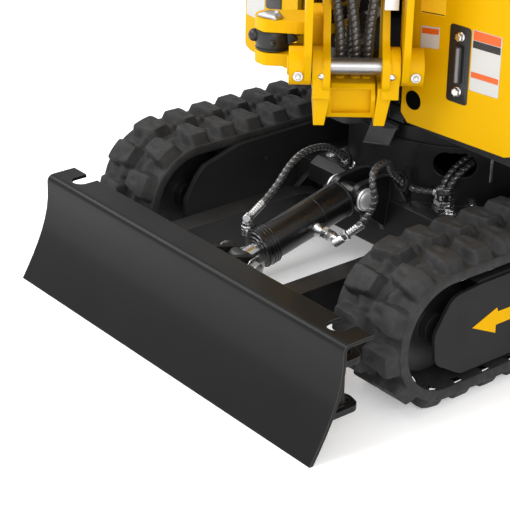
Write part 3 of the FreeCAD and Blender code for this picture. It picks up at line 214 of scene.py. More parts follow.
class B:
    def __init__(s):
        s.bm = bmesh.new()

    def poly(s, vs, faces):
        v = [s.bm.verts.new(Vector(p)) for p in vs]
        for f in faces:
            s.bm.faces.new([v[i] for i in f])

    def rev(s, p, d, prof, seg=32, phase=0.0):
        """revolve (distance, radius) pairs about the line from p along d"""
        d, u, v = frame_of(d); p = Vector(p); n = len(prof); vs = []; fs = []
        for t, r in prof:
            for k in range(seg):
                a = 2 * math.pi * k / seg + phase
                vs.append(p + d * t + (u * math.cos(a) + v * math.sin(a)) * r)
        for i in range(n - 1):
            for k in range(seg):
                a, b = i * seg + k, i * seg + (k + 1) % seg
                fs.append((a, b, b + seg, a + seg))
        fs.append(tuple(range(seg))[::-1]); fs.append(tuple((n - 1) * seg + k for k in range(seg)))
        s.poly(vs, fs); return s

    def cyl(s, p, q, r, ch=0.8, seg=32):
        p, q = Vector(p), Vector(q); L = (q - p).length
        return s.rev(p, q - p, [(0, r - ch), (ch, r), (L - ch, r), (L, r - ch)], seg)

    def hexn(s, p, d, af, h, ch=1.0, phase=0.3):
        R = af / math.sqrt(3)
        return s.rev(p, d, [(0, R * 0.93), (ch, R), (h - ch, R), (h, R * 0.9)], 6, phase)

    def bolt(s, p, d, af=13.0, h=7.0, washer=True, phase=0.3):
        p = Vector(p); d = Vector(d).normalized()
        if washer:
            s.rev(p, d, [(0, af * 0.92), (0.6, af * 0.96), (1.8, af * 0.96), (2.4, af * 0.9)], 28)
            p = p + d * 2.2
        s.hexn(p, d, af, h, phase=phase)
        s.rev(p + d * (h - 0.3), d, [(0, af * 0.42), (0.7, af * 0.40), (1.0, af * 0.3)], 20)
        return s

    def prism(s, pts, vec):
        pts = [Vector(p) for p in pts]; vec = Vector(vec); n = len(pts)
        vs = pts + [p + vec for p in pts]
        fs = [tuple(range(n))[::-1], tuple(range(n, 2 * n))] + [(i, (i + 1) % n, (i + 1) % n + n, i + n) for i in range(n)]
        s.poly(vs, fs); return s

    def box(s, c, size, ux=(1, 0, 0), uy=(0, 1, 0)):
        c = Vector(c); ux = Vector(ux).normalized(); uz = ux.cross(Vector(uy)).normalized(); uy = uz.cross(ux)
        a, b, h = [x / 2 for x in size]
        pts = [c + ux * i * a + uy * j * b - uz * h for i, j in ((-1, -1), (1, -1), (1, 1), (-1, 1))]
        return s.prism(pts, uz * 2 * h)

    def tor(s, c, axis, R, r, seg=48, ring=10):
        d, u, v = frame_of(axis); c = Vector(c); vs = []; fs = []
        for i in range(seg):
            a = 2 * math.pi * i / seg; e = u * math.cos(a) + v * math.sin(a)
            for j in range(ring):
                b = 2 * math.pi * j / ring
                vs.append(c + e * (R + r * math.cos(b)) + d * r * math.sin(b))
        for i in range(seg):
            for j in range(ring):
                a, b = i * ring + j, i * ring + (j + 1) % ring
                a2, b2 = ((i + 1) % seg) * ring + j, ((i + 1) % seg) * ring + (j + 1) % ring
                fs.append((a, a2, b2, b))
        s.poly(vs, fs); return s

    def obj(s, name, mt, body, bevel=0.0, segs=2, smooth=38, sub=0):
        bmesh.ops.recalc_face_normals(s.bm, faces=s.bm.faces)
        for v in s.bm.verts:
            v.co = M(*v.co)
        me = bpy.data.meshes.new(name); s.bm.to_mesh(me); s.bm.free()
        me.materials.append(MATS[mt])
        o = bpy.data.objects.new(name, me); SCN.collection.objects.link(o)
        if bevel:
            b = o.modifiers.new("bevel", "BEVEL"); b.width = bevel / 1000; b.segments = segs; b.limit_method = "ANGLE"
            b.angle_limit = math.radians(30)
            bpy.context.view_layer.update()
            dg = bpy.context.evaluated_depsgraph_get()
            me2 = bpy.data.meshes.new_from_object(o.evaluated_get(dg)); o.modifiers.clear(); o.data = me2; me = me2
        me.polygons.foreach_set("use_smooth", [True] * len(me.polygons))
        me.set_sharp_from_angle(angle=math.radians(smooth))
        if body:
            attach(o, body)
        return o


# ------------------------------------------------------------------ hoses (the same routes as the CAD tubes)
def spline_points(name, pts):
    cu = bpy.data.curves.new(name + "_line", "CURVE"); cu.dimensions = "3D"
    sp = cu.splines.new("NURBS"); sp.points.add(len(pts) - 1)
    for k, p in enumerate(pts):
        sp.points[k].co = (*M(*p), 1.0)
    sp.order_u = 3; sp.use_endpoint_u = True; cu.resolution_u = 40
    o = bpy.data.objects.new(name + "_line", cu); SCN.collection.objects.link(o)
    bpy.context.view_layer.update()
    me = bpy.data.meshes.new_from_object(o.evaluated_get(bpy.context.evaluated_depsgraph_get()))
    out = [v.co.copy() for v in me.vertices]
    bpy.data.objects.remove(o); bpy.data.meshes.remove(me)
    return out


def guard_tube(name, line, dia, pitch=0.0128, groove=0.0019, seg=20):
    """a hose in its spiral guard: a tube along the line with one helical groove"""
    d = [0.0]
    for a, b in zip(line, line[1:]):
        d.append(d[-1] + (b - a).length)
    L = d[-1]; n = int(L / 0.0013); R = dia / 2000
    pts = []; j = 0
    for i in range(n + 1):
        t = L * i / n
        while j < len(d) - 2 and d[j + 1] < t:
            j += 1
        f = (t - d[j]) / max(1e-9, d[j + 1] - d[j]); pts.append(line[j].lerp(line[j + 1], min(1, f)))
    bm = bmesh.new(); rows = []
    T = (pts[1] - pts[0]).normalized(); T, u, v = frame_of(T)
    for i, p in enumerate(pts):
        T2 = (pts[min(n, i + 1)] - pts[max(0, i - 1)]).normalized()
        q = T.rotation_difference(T2); u = q @ u; T = T2; v = T.cross(u)
        row = []
        for k in range(seg):
            a = 2 * math.pi * k / seg
            ph = ((L * i / n) / pitch - k / seg) % 1.0
            g = max(0.0, 1 - abs(ph - 0.5) / 0.17)
            r = R * (1.15 if dia < 14 else 1.15) - groove * g * g * (3 - 2 * g) - 0.0005 * (1 - math.sin(math.pi * ((ph + 0.5) % 1.0)))
            row.append(bm.verts.new(p + (u * math.cos(a) + v * math.sin(a)) * r))
        rows.append(row)
    for a, b in zip(rows, rows[1:]):
        for k in range(seg):
            bm.faces.new((a[k], a[(k + 1) % seg], b[(k + 1) % seg], b[k]))
    bm.faces.new(rows[0][::-1]); bm.faces.new(rows[-1])
    bmesh.ops.recalc_face_normals(bm, faces=bm.faces)
    me = bpy.data.meshes.new(name); bm.to_mesh(me); bm.free()
    me.polygons.foreach_set("use_smooth", [True] * len(me.polygons))
    me.materials.append(MATS["hose_black"])
    o = bpy.data.objects.new(name, me); SCN.collection.objects.link(o)
    return o, L


ROUTES = {
    "blade_hose_front": ([(-40, -540, 221), (-45, -476, 256), (-51, -431, 300), (-62, -384, 316), (-70, -332, 312), (-78, -296, 297),
                          (-80, -264, 272), (-82, -240, 245)], 12.5),
    "blade_hose_rear": ([(118, -424, 208), (163, -382, 262), (150, -400, 346), (120, -322, 344), (86, -284, 298), (80, -245, 263),
                         (102, -225, 246), (140, -202, 250)], 12.5),
    "feed_hose_1": ([(164, -198, 256), (166, -192, 274), (172, -170, 298), (168, -136, 306), (157, -104, 303)], 12.5),
    "feed_hose_2": ([(149, -200, 256), (150, -191, 280), (152, -156, 306), (150, -116, 314)], 12.5),
}
BH = ([(-27, 114, 530), (-27, 114, 600), (-42, 132, 690), (-42, 156, 790), (-40, 160, 852.5)],
      [(2, 114, 530), (2, 114, 600), (-15, 130, 690), (-16, 152, 790), (-15, 160, 852.5)],
      [(-10, 94, 530), (-10, 94, 600), (-1, 113, 690), (5, 141, 790), (5, 146, 852.5)],
      [(24, 114, 530), (24, 114, 600), (33, 130, 690), (34, 154, 790), (32, 160, 852.5)])
for i, r in enumerate(BH):
    ROUTES["boom_hose_%d" % (i + 1)] = ([tuple(W(*p)) for p in r], 17.0)
for name, (pts, dia) in ROUTES.items():
    line = spline_points(name, pts)
    o, L = guard_tube(name + "_guard", line, dia)
    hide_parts(name)
    if name.startswith("boom"):
        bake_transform(o)
    elif name.startswith("blade"):
        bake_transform(o)
    else:
        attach(o, "root")

# ------------------------------------------------------------------ floor and light
def area(name, loc, target, size, power, color=(1, 1, 1)):
    l = bpy.data.lights.new(name, "AREA"); l.shape = "RECTANGLE"
    l.size, l.size_y = size; l.energy = power; l.color = color
    o = bpy.data.objects.new(name, l); SCN.collection.objects.link(o)
    o.location = loc
    o.rotation_euler = (Vector(target) - Vector(loc)).to_track_quat("-Z", "Y").to_euler()
    return o


bm = bmesh.new(); bmesh.ops.create_grid(bm, x_segments=1, y_segments=1, size=40)
me = bpy.data.meshes.new("floor"); bm.to_mesh(me); bm.free()
floor = bpy.data.objects.new("floor", me); SCN.collection.objects.link(floor)
fm = bpy.data.materials.new("floor"); fm.use_nodes = True
fb = fm.node_tree.nodes["Principled BSDF"]; fb.inputs["Base Color"].default_value = (0.93, 0.93, 0.93, 1); fb.inputs["Roughness"].default_value = 0.85
fb.inputs["Emission Color"].default_value = (1, 1, 1, 1); fb.inputs["Emission Strength"].default_value = 0.28
me.materials.append(fm)
area("key", M(-700, -3700, 4100), M(0, -300, 400), (2.0, 2.0), 125)
area("fill", M(3500, -2500, 2300), M(0, -300, 400), (2.4, 2.4), 90)
area("side", M(-3700, -2100, 3600), M(0, -300, 300), (2.6, 2.0), 95)
area("rim", M(-1500, 3000, 3600), M(0, 0, 700), (3, 2), 40)
w = bpy.data.worlds.new("world"); SCN.world = w; w.use_nodes = True
w.node_tree.nodes["Background"].inputs[0].default_value = (1, 1, 1, 1)
w.node_tree.nodes["Background"].inputs[1].default_value = 0.74

# ------------------------------------------------------------------ tracks
IDL, SPR, TZC, RP = -471.0, 484.0, 149.0, 120.0
LINKS = 37
LOOP = 2 * (SPR - IDL) + 2 * math.pi * RP
PITCH = LOOP / LINKS


def loop_point(d, off):
    L = SPR - IDL; c = math.pi * RP; d = d % (2 * L + 2 * c)
    if d < L:
        return IDL + d, TZC + RP + off
    d -= L
    if d < c:
        t = math.pi / 2 - d / RP; return SPR + (RP + off) * math.cos(t), TZC + (RP + off) * math.sin(t)
    d -= c
    if d < L:
        return SPR - d, TZC - RP - off
    d -= L
    t = -math.pi / 2 - d / RP
    return IDL + (RP + off) * math.cos(t), TZC + (RP + off) * math.sin(t)


def sstep(a, b, x):
    t = max(0.0, min(1.0, (x - a) / (b - a))); return t * t * (3 - 2 * t)


def lug_h(d, x):
    """height of the tread over the belt at distance d along and x mm from the belt's middle"""
    side = 1 if x > 0 else -1
    u = abs(x)
    sh = 0.0 if side > 0 else PITCH / 2
    k = round((d - sh - 6) / PITCH); s = d - sh - 6 - k * PITCH
    # pad: wide at its outer third, drawn in toward the middle and swept a little
    s2 = s - side * 0.0 - 5.0 * (1 - u / 90.0)
    half = 15.5 - 4.0 * (1 - sstep(8, 30, u)) + 2.5 * sstep(36, 60, u) - 5.0 * sstep(68, 88, u)
    e = abs(s2) - half
    ds = 1 - sstep(0.0, 11.0, e)
    du = (1 - sstep(72, 87, u)) * sstep(4.0, 11.0, u)
    h = 24.0 * ds * du
    # shallow dish in the pad's top and the web that ties pad to pad
    h -= 3.2 * ds * du * sstep(0.5, 1.0, 1 - abs(s2) / 16.0) * sstep(14, 26, u) * (1 - sstep(36, 50, u))
    e2 = abs(abs(s) - PITCH / 2)
    web = 9.0 * (1 - sstep(3.0, 16.0, abs(u - 27 - 0.5 * (PITCH / 2 - abs(s))))) * sstep(5, 12, u)
    h = max(h, web)
    # outer shoulder rib
    rib = 3.0 * (1 - sstep(0, 4, abs(u - 87)))
    return max(h, rib)


def make_track(sign):
    cx = 375.0 * sign
    ns = LINKS * 30; xs = []
    for k in range(47):
        xs.append(-88.5 + 177.0 * k / 46)
    prof_n = len(xs); rows = []
    bm = bmesh.new()
    for i in range(ns):
        d = LOOP * i / ns; row = []
        for x in xs:
            h = lug_h(d, x)
            nz = noise.noise(Vector((d * 0.05, x * 0.05, sign * 7.0)))
            h = min(23.8, max(0.0, h + 0.9 * nz * (0.3 + min(1.0, h / 14))))
            xx = x * (1 - 0.02 * sstep(10, 24, h))
            y, z = loop_point(d, 5.0 + h)
            row.append(bm.verts.new((cx + xx, y, z)))
        for x, off in ((90, 3.5), (90, -3), (89, -8), (87, -12.5), (40, -13), (0, -13), (-40, -13), (-87, -12.5), (-89, -8), (-90, -3), (-90, 3.5)):
            y, z = loop_point(d, off); row.append(bm.verts.new((cx + x, y, z)))
        rows.append(row)
    n = len(rows[0])
    for i in range(ns):
        a, b = rows[i], rows[(i + 1) % ns]
        for k in range(n):
            bm.faces.new((a[k], b[k], b[(k + 1) % n], a[(k + 1) % n]))
    o = B(); o.bm.free(); o.bm = bm
    name = "left_track" if sign > 0 else "right_track"
    ob = o.obj(name + "_tread", "rubber_track", "root", smooth=42)
    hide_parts(name)
    return ob


make_track(1); make_track(-1)

# ------------------------------------------------------------------ track frames: bolts, arrow, cover rims
for sg, nm in ((1, "left"), (-1, "right")):
    b = B()
    for y in (-290, -130, 30, 190, 330):
        b.bolt((sg * 460, y, 78), (sg, 0, 0), 13, 5, washer=False)
    for y in (-309, -60, 190):
        b.bolt((sg * 270, y, 214), (-sg, 0, 0), 7, 3, washer=False)
    b.obj(nm + "_frame_bolts", "cast_black", "root")
    b = B()
    x0 = sg * 460.0
    arrow = [(-416, 147), (-353, 170), (-350, 161), (-318, 160.5), (-280, 158), (-240, 152), (-200, 142), (-206, 118), (-245, 127), (-282, 132), (-318, 134), (-353, 134), (-353, 117)]
    b.prism([(x0, y, z) for y, z in arrow], (sg * 0.5, 0, 0))
    b.obj(nm + "_arrow_decal", "arrow_yellow", "root")
    # worn ends of the steel cores inside the belt
    b = B()
    for k in range(LINKS):
        d = LOOP * (k + 0.35) / LINKS
        y, z = loop_point(d, -13); y1, z1 = loop_point(d + 1, -13)
        t = Vector((0, y1 - y, z1 - z)).normalized(); nn = Vector((1, 0, 0)).cross(t)
        for dx in (-77, 77):
            b.box(Vector((sg * 375 + dx, y, z)), (13, 17, 6), (1, 0, 0), t)
    b.obj(nm + "_belt_cores", "bright_steel", "root", bevel=1.2)

# ------------------------------------------------------------------ blade cylinder: pins, gland, ports and hose ends
b = B()
b.bolt((46, -593, 160), (1, 0, 0), 24, 10)
b.bolt((-46, -593, 160), (-1, 0, 0), 24, 10)
b.obj("blade_pin_bolts", "steel_pin", "blade")
b = B()
for sx in (1, -1):
    b.rev((sx * 43.5, -307, 228), (sx, 0, 0), [(0, 23), (1.0, 23.8), (4.5, 23.8), (5.5, 23.0), (5.9, 19.5), (6.4, 19), (8.2, 16), (9.6, 10), (10.2, 2)], 48)
b.obj("blade_base_pin_caps", "cap_silver", "root")
ax = (Vector((0, -593, 160)) - Vector((0, -307, 228))).normalized(); b3 = Vector((0, -307, 228))
b = B()
for dd, r0, r1 in ((222, 41, 42.2), (229, 41, 42.2), (236, 41, 42.2)):
    b.tor(b3 + ax * dd, ax, r0 + 0.2, 1.1, 64, 8)
b.rev(b3 + ax * 246, ax, [(0, 37), (1.5, 37.5), (4.0, 36), (4.4, 29), (7.0, 27.5), (7.6, 22), (9.0, 21.5), (9.4, 18)], 48)
b.tor(b3 + ax * 100, ax, 38.2, 1.0, 64, 8)
b.tor(b3 + ax * 30, ax, 38.0, 1.6, 64, 8)
b.obj("blade_cylinder_rings", "cylinder_black", "blade_barrel")


def hose_end(b, p, q, start, r=8.2, ln=38.0, hexaf=19.0):
    """crimped sleeve and nut on the first run of a hose"""
    p, q = Vector(p), Vector(q); d = (q - p).normalized()
    prof = [(start, r - 1.6), (start + 1, r)]
    t = start + 1
    while t < start + ln - 4:
        prof += [(t + 2.6, r), (t + 3.2, r - 0.7), (t + 4.0, r - 0.7), (t + 4.6, r)]
        t += 5.2
    prof += [(start + ln - 1, r), (start + ln, r - 1.6)]
    b.rev(p, d, prof, 28)
    b.hexn(p + d * (start - 13), d, hexaf, 12)


b = B()
hose_end(b, (-40, -540, 221), (-45, -476, 256), 6)
b.rev((-34, -548, 190), (0, 0, 1), [(0, 11), (2, 12), (12, 12), (13, 10), (26, 10), (27, 8)], 24)
b.hexn((-34, -548, 200), (0, 0, 1), 22, 9)
b.rev((-34, -548, 224), (-6 / 13, 8 / 13, -3 / 13), [(-10, 7), (-9, 8), (9, 8), (10, 7)], 24)
b.hexn((-18, -548, 196), (1, 0, 0), 15, 8)
b.obj("blade_hose_front_fitting", "steel_pin", "blade_barrel")
b = B()
hose_end(b, (118, -424, 208), (163, -382, 262), 6)
b.rev((36, -431, 196), (1, 0, 0), [(0, 10), (2, 13), (10, 14.5), (18, 13), (24, 9), (30, 8.5), (68, 8.5), (70, 7)], 32)
b.hexn((62, -431, 196), (1, 0, 0), 23, 13)
b.hexn((78, -431, 196), (1, 0, 0), 20, 14, phase=0.1)
b.rev((110, -436, 196), (0.4, 0.35, 0.45), [(-11, 6), (-9, 9.5), (7, 9.5), (12, 8)], 24)
b.obj("blade_hose_rear_fitting", "steel_pin", "blade_barrel")
# riser where the hoses meet, stacked nuts
b = B()
for z0, af in ((216, 40), (229, 36), (242, 33)):
    b.hexn((157, -199, z0), (0, 0, 1), af, 11, phase=0.2 + z0 * 0.01)
b.rev((164, -198, 252), (0, 0, 1), [(0, 8.5), (1, 9.2), (12, 9.2), (13, 8)], 24)
b.rev((149, -200, 252), (0, 0, 1), [(0, 8.5), (1, 9.2), (12, 9.2), (13, 8)], 24)
b.rev((143.5, -200.8, 250), (-0.95, -0.3, 0.0), [(-4, 8.5), (-3, 9.2), (9, 9.2), (10, 8)], 24)
b.obj("riser_nuts", "steel_pin", "root")
b = B()
hose_end(b, (-82, -240, 245), (-80, -264, 272), 1, ln=22.0)
gd = Vector((0, 38, -43.7)).normalized()
b.hexn(Vector((-82, -240, 245)) + gd * 3, gd, 24, 12)
b.hexn(Vector((-82, -240, 245)) + gd * 34, gd, 27, 9, phase=0.7)
b.obj("bulkhead_nut", "steel_pin", "root")
# the rolled moldboard, its facets shaded as one curve
src = N["blade"]
me = bpy.data.meshes.new("blade_shell")
me.from_pydata([v.co[:] for v in src.data.vertices], [], [tuple(f.vertices) for f in src.data.polygons]); me.update()
me.materials.append(MATS["blade_paint"])
bm = bmesh.new(); bm.from_mesh(me); bmesh.ops.remove_doubles(bm, verts=bm.verts, dist=2e-5)
bmesh.ops.recalc_face_normals(bm, faces=bm.faces); bm.to_mesh(me); bm.free()
me.polygons.foreach_set("use_smooth", [True] * len(me.polygons)); me.set_sharp_from_angle(angle=math.radians(24))
shell = bpy.data.objects.new("blade_shell", me); SCN.collection.objects.link(shell)
shell.matrix_world = src.matrix_world.copy()
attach(shell, "blade"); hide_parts("blade")
# undercarriage bolts
b = B()
for x, y in ((-190, -190), (190, -150), (-200, 60), (200, 60), (-190, 200), (190, 200)):
    b.bolt((x, y, 218), (0, 0, 1), 15, 8)
b.bolt((186, -236 + 30, 218), (0, 0, 1), 12, 7)
b.obj("frame_top_bolts", "steel_pin", "root")
# slewing ring bolts
b = B()
for k in range(20):
    a = math.radians(18 * k + 4)
    b.bolt((221 * math.cos(a), 221 * math.sin(a), 385), (0, 0, 1), 12, 6, washer=False)
b.obj("slew_ring_bolts", "steel_pin", "root")

# ------------------------------------------------------------------ swing post and boom foot
b = B()
for wv in (-64, 66):
    b.rev(W(wv, 186.0, 546), Wd(0, 1, 0), [(0, 6.4), (1.4, 6.6), (3.4, 5.4), (4.4, 3.0)], 24)
for wv in (-108, 110):
    b.bolt(W(wv, 186.0, 545), Wd(0, 1, 0), 10, 6)
b.obj("post_front_screws", "steel_pin", "swing_post")

# ------------------------------------------------------------------ front covers: gauge, hole rim, blank labels
COV = 118.0
SLOPE = 24.0 / 278.0
CN = Vector((24.0, -278.0, 0)).normalized()


def F(x, z, off=0.0, sg=1):
    p = Vector((x, -294.0 + SLOPE * (x - COV), z)) + CN * off
    return Vector((p.x * sg, p.y, p.z))


def rrect(x0, x1, z0, z1, r, off, sg=1, slope=0.0, n=6):
    out = []
    for cx, cz, a0 in ((x1 - r, z1 - r, 0), (x0 + r, z1 - r, 90), (x0 + r, z0 + r, 180), (x1 - r, z0 + r, 270)):
        for k in range(n + 1):
            a = math.radians(a0 + 90 * k / n)
            x = cx + r * math.cos(a); z = cz + r * math.sin(a) + slope * (x - x0)
            out.append(F(x, z, off, sg))
    return out


for sg, nm in ((1, "left"), (-1, "right")):
    nrm = Vector((CN.x * sg, CN.y, 0))
    if sg > 0:
        b = B(); b.prism(rrect(228.5, 278, 493, 643, 7, 0.2, sg), nrm * 1.6)
        b.prism(rrect(245, 270, 508, 632, 5, 1.8, sg), nrm * 1.2)
        b.obj(nm + "_gauge_plate", "label_black", "house", bevel=0.5)
        b = B(); b.prism(rrect(249, 264, 533, 607, 4, 3.0, sg), nrm * 7.5)
        b.obj(nm + "_gauge_frame", "plastic_black", "house", bevel=1.2)
        b = B(); b.cyl(F(256.5, 536, 9.2, sg), F(256.5, 604, 9.2, sg), 4.6)
        b.obj(nm + "_gauge_tube", "glass_gauge", "house")
        b = B()
        for z in (623.8, 517.3):
            b.rev(F(256.5, z, 3.0, sg), nrm, [(0, 8.5), (0.6, 9.4), (2.2, 9.4), (2.6, 8.8)], 32)
            b.hexn(F(256.5, z, 5.4, sg), nrm, 14.5, 7.5, phase=0.5)
            b.rev(F(256.5, z, 12.8, sg), nrm, [(0, 6.2), (0.5, 5.6)], 24)
        b.obj(nm + "_gauge_bolts", "bright_steel", "house")
        # blank safety-size label: plain fields only
        b = B(); b.prism(rrect(281, 349, 526, 643, 3, 0.15, sg, 0.02), nrm * 0.35)
        b.obj(nm + "_label", "label_white", "house")
        b = B()
        for z0, z1 in ((624, 642), (552, 563)):
            b.prism(rrect(283, 347, z0, z1, 1.0, 0.5, sg, 0.02, 2), nrm * 0.15)
        b.obj(nm + "_label_orange", "label_orange", "house")
        b = B(); b.prism(rrect(283, 347, 609, 623, 1.0, 0.5, sg, 0.02, 2), nrm * 0.15)
        b.obj(nm + "_label_black", "label_black", "house")
        b = B(); b.prism(rrect(158, 203, 578, 620, 2, 0.15, sg, 0.15), nrm * 0.35)
        b.obj(nm + "_small_label", "label_white", "house")
        b = B(); b.prism(rrect(160, 201, 606, 617, 1, 0.5, sg, 0.15, 2), nrm * 0.15)
        b.obj(nm + "_small_label_band", "label_orange", "house")
        b = B(); b.prism(rrect(154, 214, 644, 696, 2, 0.15, sg, 0.1), nrm * 0.35)
        b.obj(nm + "_yellow_label", "label_yellow", "house")
        b = B(); b.prism(rrect(156, 212, 681, 693, 1, 0.5, sg, 0.1, 2), nrm * 0.15)
        b.prism(rrect(156, 212, 646, 648, 0.5, 0.5, sg, 0.1, 2), nrm * 0.15)
        b.obj(nm + "_yellow_label_band", "label_black", "house")
    else:
        b = B(); b.prism(rrect(261, 316, 531, 640, 5, 0.2, sg), nrm * 2.0)
        b.obj("right_cover_plate", "label_black", "house", bevel=0.6)
        b = B()
        for x, z in ((269, 632), (308, 632)):
            b.rev(F(x, z, 2.1, sg), nrm, [(0, 4.2), (0.8, 4.4), (2.4, 3.6), (3.0, 2.0)], 20)
        b.obj("right_cover_plate_screws", "steel_pin", "house")
        b = B(); b.prism(rrect(322, 389, 496, 600, 3, 0.15, sg), nrm * 0.35)
        b.obj("right_label", "label_white", "house")
    # cover screws along the top and the side cover's latch and louvres
    b = B()
    for x in ((140, 260, 376) if sg > 0 else (222, 300, 376)):
        b.bolt(F(x, 722, 0, sg), nrm, 10, 5)
    for y in (-70, 120, 300):
        b.bolt((sg * 410, y, 455), (sg, 0, 0), 10, 5)
        b.bolt((sg * 410, y, 780), (sg, 0, 0), 10, 5)
    b.obj(nm + "_cover_bolts", "steel_pin", "house")
    b = B()
    for k in range(7):
        b.box((sg * 411.2, 120 + 22 * k, 620), (3.2, 12, 120), (1, 0, 0), (0, 1, 0))
    b.obj(nm + "_louvres", "black_paint", "house", bevel=1.0)
    b = B(); b.prism([(sg * 410, y, z) for y, z in ((-60, 600), (-20, 600), (-14, 608), (-14, 632), (-20, 640), (-60, 640), (-66, 632), (-66, 608))], (sg * 3, 0, 0))
    b.rev((sg * 413, -40, 620), (sg, 0, 0), [(0, 9), (1, 9.5), (4, 9), (5, 6)], 28)
    b.obj(nm + "_latch", "plastic_black", "house", bevel=0.8)
# thin black disc over the round hole: painted shade for the hole's dark inside
b = B(); b.cyl(F(148, 468, -3.0), F(148, 468, 0.35), 19.5, 0.2, 48)
b.obj("cover_hole_shade_disc", "hole_painted_shade", "house")
b = B(); b.tor(F(148, 468, 0.2), CN, 19.8, 0.7, 48, 8)
b.obj("cover_hole_rim", "yellow_paint", "house")

# ------------------------------------------------------------------ swing clevis cap, post brackets, welds
b = B()
cap = [(-186, 74), (-178, 62), (-160, 53), (-141, 64), (-136, 88), (-150, 99), (-172, 87)]
b.prism([W(w_, s_, 623.2) for w_, s_ in cap], (0, 0, 4.5))
b.poly([W(w_, s_, 627.5) for w_, s_ in cap] + [W(-154 + (w_ + 154) * 0.55, 78 + (s_ - 78) * 0.55, 633.5) for w_, s_ in cap],
       [tuple(range(7))[::-1], tuple(range(7, 14))] + [(k, (k + 1) % 7, (k + 1) % 7 + 7, k + 7) for k in range(7)])
o = b.obj("swing_pin_flag", "satin_pin", "swing_post", bevel=1.2)
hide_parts("swing_pin_cap")
b = B()
b.bolt(W(-148, 82, 633.3), (0, 0, 1), 9, 4, washer=False)
b.obj("swing_flag_bolt", "steel_pin", "swing_post")
b = B()
c0 = Vector(W(-155, 62, 578)); sb = Vector((-158, 150, 578)); dv = (sb - c0).normalized()
for k in (-1, 1):
    b.rev(c0 + Vector((0, 0, k * 16.5)), (0, 0, k), [(0, 33), (1.0, 33.4), (2.6, 33), (3.2, 30)], 40)
b.rev(W(-155, 62, 558), (0, 0, 1), [(0, 27), (1.5, 29.5), (5, 31.5), (12, 33.6), (34, 34.2), (38, 33.4), (39, 31)], 48)
b.rev(W(-155, 96, 578), Wd(0, 1, 0), [(0, 6), (4, 6), (5, 4.2), (9, 3.6), (11, 2.0)], 20)
b.prism([W(-128, 86, 598), W(-109, 86, 585), W(-107, 86, 580), W(-126, 86, 572)], Vector(Wd(0, -12, 0)))
b.obj("swing_eye_casting", "cast_black", "swing_rod", bevel=0.8)
b = B()
b.rev(W(-190, 66, 584), (0, 0, 1), [(-12, 3), (-10.5, 7), (-6, 10.6), (0, 12.2), (6, 10.6), (10.5, 7), (12, 3)], 28)
b.obj("swing_post_boss", "cast_black", "swing_post", bevel=1.5)
b = B()
for w_ in (56, ):
    b.prism([W(48.5, 150, 664), W(75, 150, 664), W(75, 150, 720), W(48.5, 150, 720)], Vector(Wd(0, 4, 0)))
b.obj("post_bracket", "cap_silver", "swing_post", bevel=0.8)
# weld beads round the post's bosses
b = B()
for w_ in (-82.6, 82.6):
    b.tor(W(w_ * 0.76, 150, 554), Wd(1, 0, 0), 37.6, 1.6, 56, 8)
b.obj("post_welds", "weld_yellow", "swing_post")
# hose end fittings on the post and inside the boom's foot
b = B()
for i, r in enumerate(BH):
    p0 = Vector(W(*r[0])); p1 = Vector(W(*r[1])); d = (p1 - p0).normalized()
    b.hexn(p0 - d * 6, d, 22, 9, phase=0.2 * i)
    b.rev(p0, d, [(0, 8.7), (1, 9.9), (24, 9.9), (25, 8.6)], 28)
b.obj("boom_hose_fittings", "steel_pin", "swing_post")

# ------------------------------------------------------------------ guard plate ahead of the slewing ring
b = B()
pl = [(-6, -262, 357), (74, -262, 383), (69, -262, 343), (41, -262, 323), (-27, -262, 309)]
b.prism([(8, -250, 352), (72, -250, 374), (72, -258, 384), (2, -258, 384)], (0, -4, 0))
b.prism([(2, -254, 384), (72, -254, 384), (62, -268, 340), (-14, -268, 322)], (0, 3, 2))
b.prism([(-14, -268, 322), (62, -268, 340), (62, -262, 337), (-14, -262, 319)], (0, 0, 3))
b.obj("ring_guard_plate", "grey_paint", "house", bevel=0.8)
b = B(); b.cyl((250, -168, 300), (250, -168, 372), 3.0)
b.obj("side_strip", "bright_steel", "root")

# ------------------------------------------------------------------ digging gear (posed as it stands)
P0 = (150.0, 554.0); P1 = (1385.0, 1110.0)
aa = math.radians(-92.0); P2 = (P1[0] + 790 * math.cos(aa), P1[1] + 790 * math.sin(aa))


def turn(p, c, a):
    x, z = p[0] - c[0], p[1] - c[1]; ca, sa = math.cos(math.radians(a)), math.sin(math.radians(a))
    return (c[0] + x * ca - z * sa, c[1] + x * sa + z * ca)


def pbm(p):
    return turn(p, P0, 38)


def pam(p):
    return pbm(turn(p, P1, 34))


def pbk(p):
    return pam(turn(p, P2, -68))


def Wp(w, p):
    return W(w, p[0], p[1])


side = Wd(1, 0, 0)
b = B()
for sx in (-1, 1):
    b.rev(Wp(sx * 98, pbm(P1)), side * sx, [(0, 22), (1, 23), (5, 23), (6, 20)], 36)
    b.bolt(Wp(sx * 104, pbm(P1)), side * sx, 19, 8)
b.obj("boom_tip_caps", "steel_pin", "boom")
b = B()
for sx in (-1, 1):
    b.rev(Wp(sx * 122, P0), side * sx, [(0, 17.2), (0.6, 18.0), (5.4, 18.0), (6.2, 17.0), (6.3, 3)], 40)
b.obj("boom_foot_collars", "yellow_paint", "boom")
b = B()
for sx in (-1, 1):
    b.rev(Wp(sx * 62, pam(P2)), side * sx, [(0, 17), (1, 18), (4, 18), (5, 15)], 32)
    b.bolt(Wp(sx * 67, pam(P2)), side * sx, 15, 6)
b.obj("bucket_pin_caps", "steel_pin", "arm")
# grease nipples
b = B()
for p, up in ((P1, (0, 44)), ):
    q = pbm((p[0] + up[0], p[1] + up[1])); c = pbm(p); d = Vector(W(0, *q)) - Vector(W(0, *c)); d.normalize()
    for w_ in (-80, 80):
        b.rev(Vector(W(w_, *c)) + d * 41, d, [(0, 4), (4, 4), (5, 2.6), (9, 2.6), (11, 3.2), (12, 1.6)], 16)
b.obj("boom_nipples", "steel_pin", "boom")
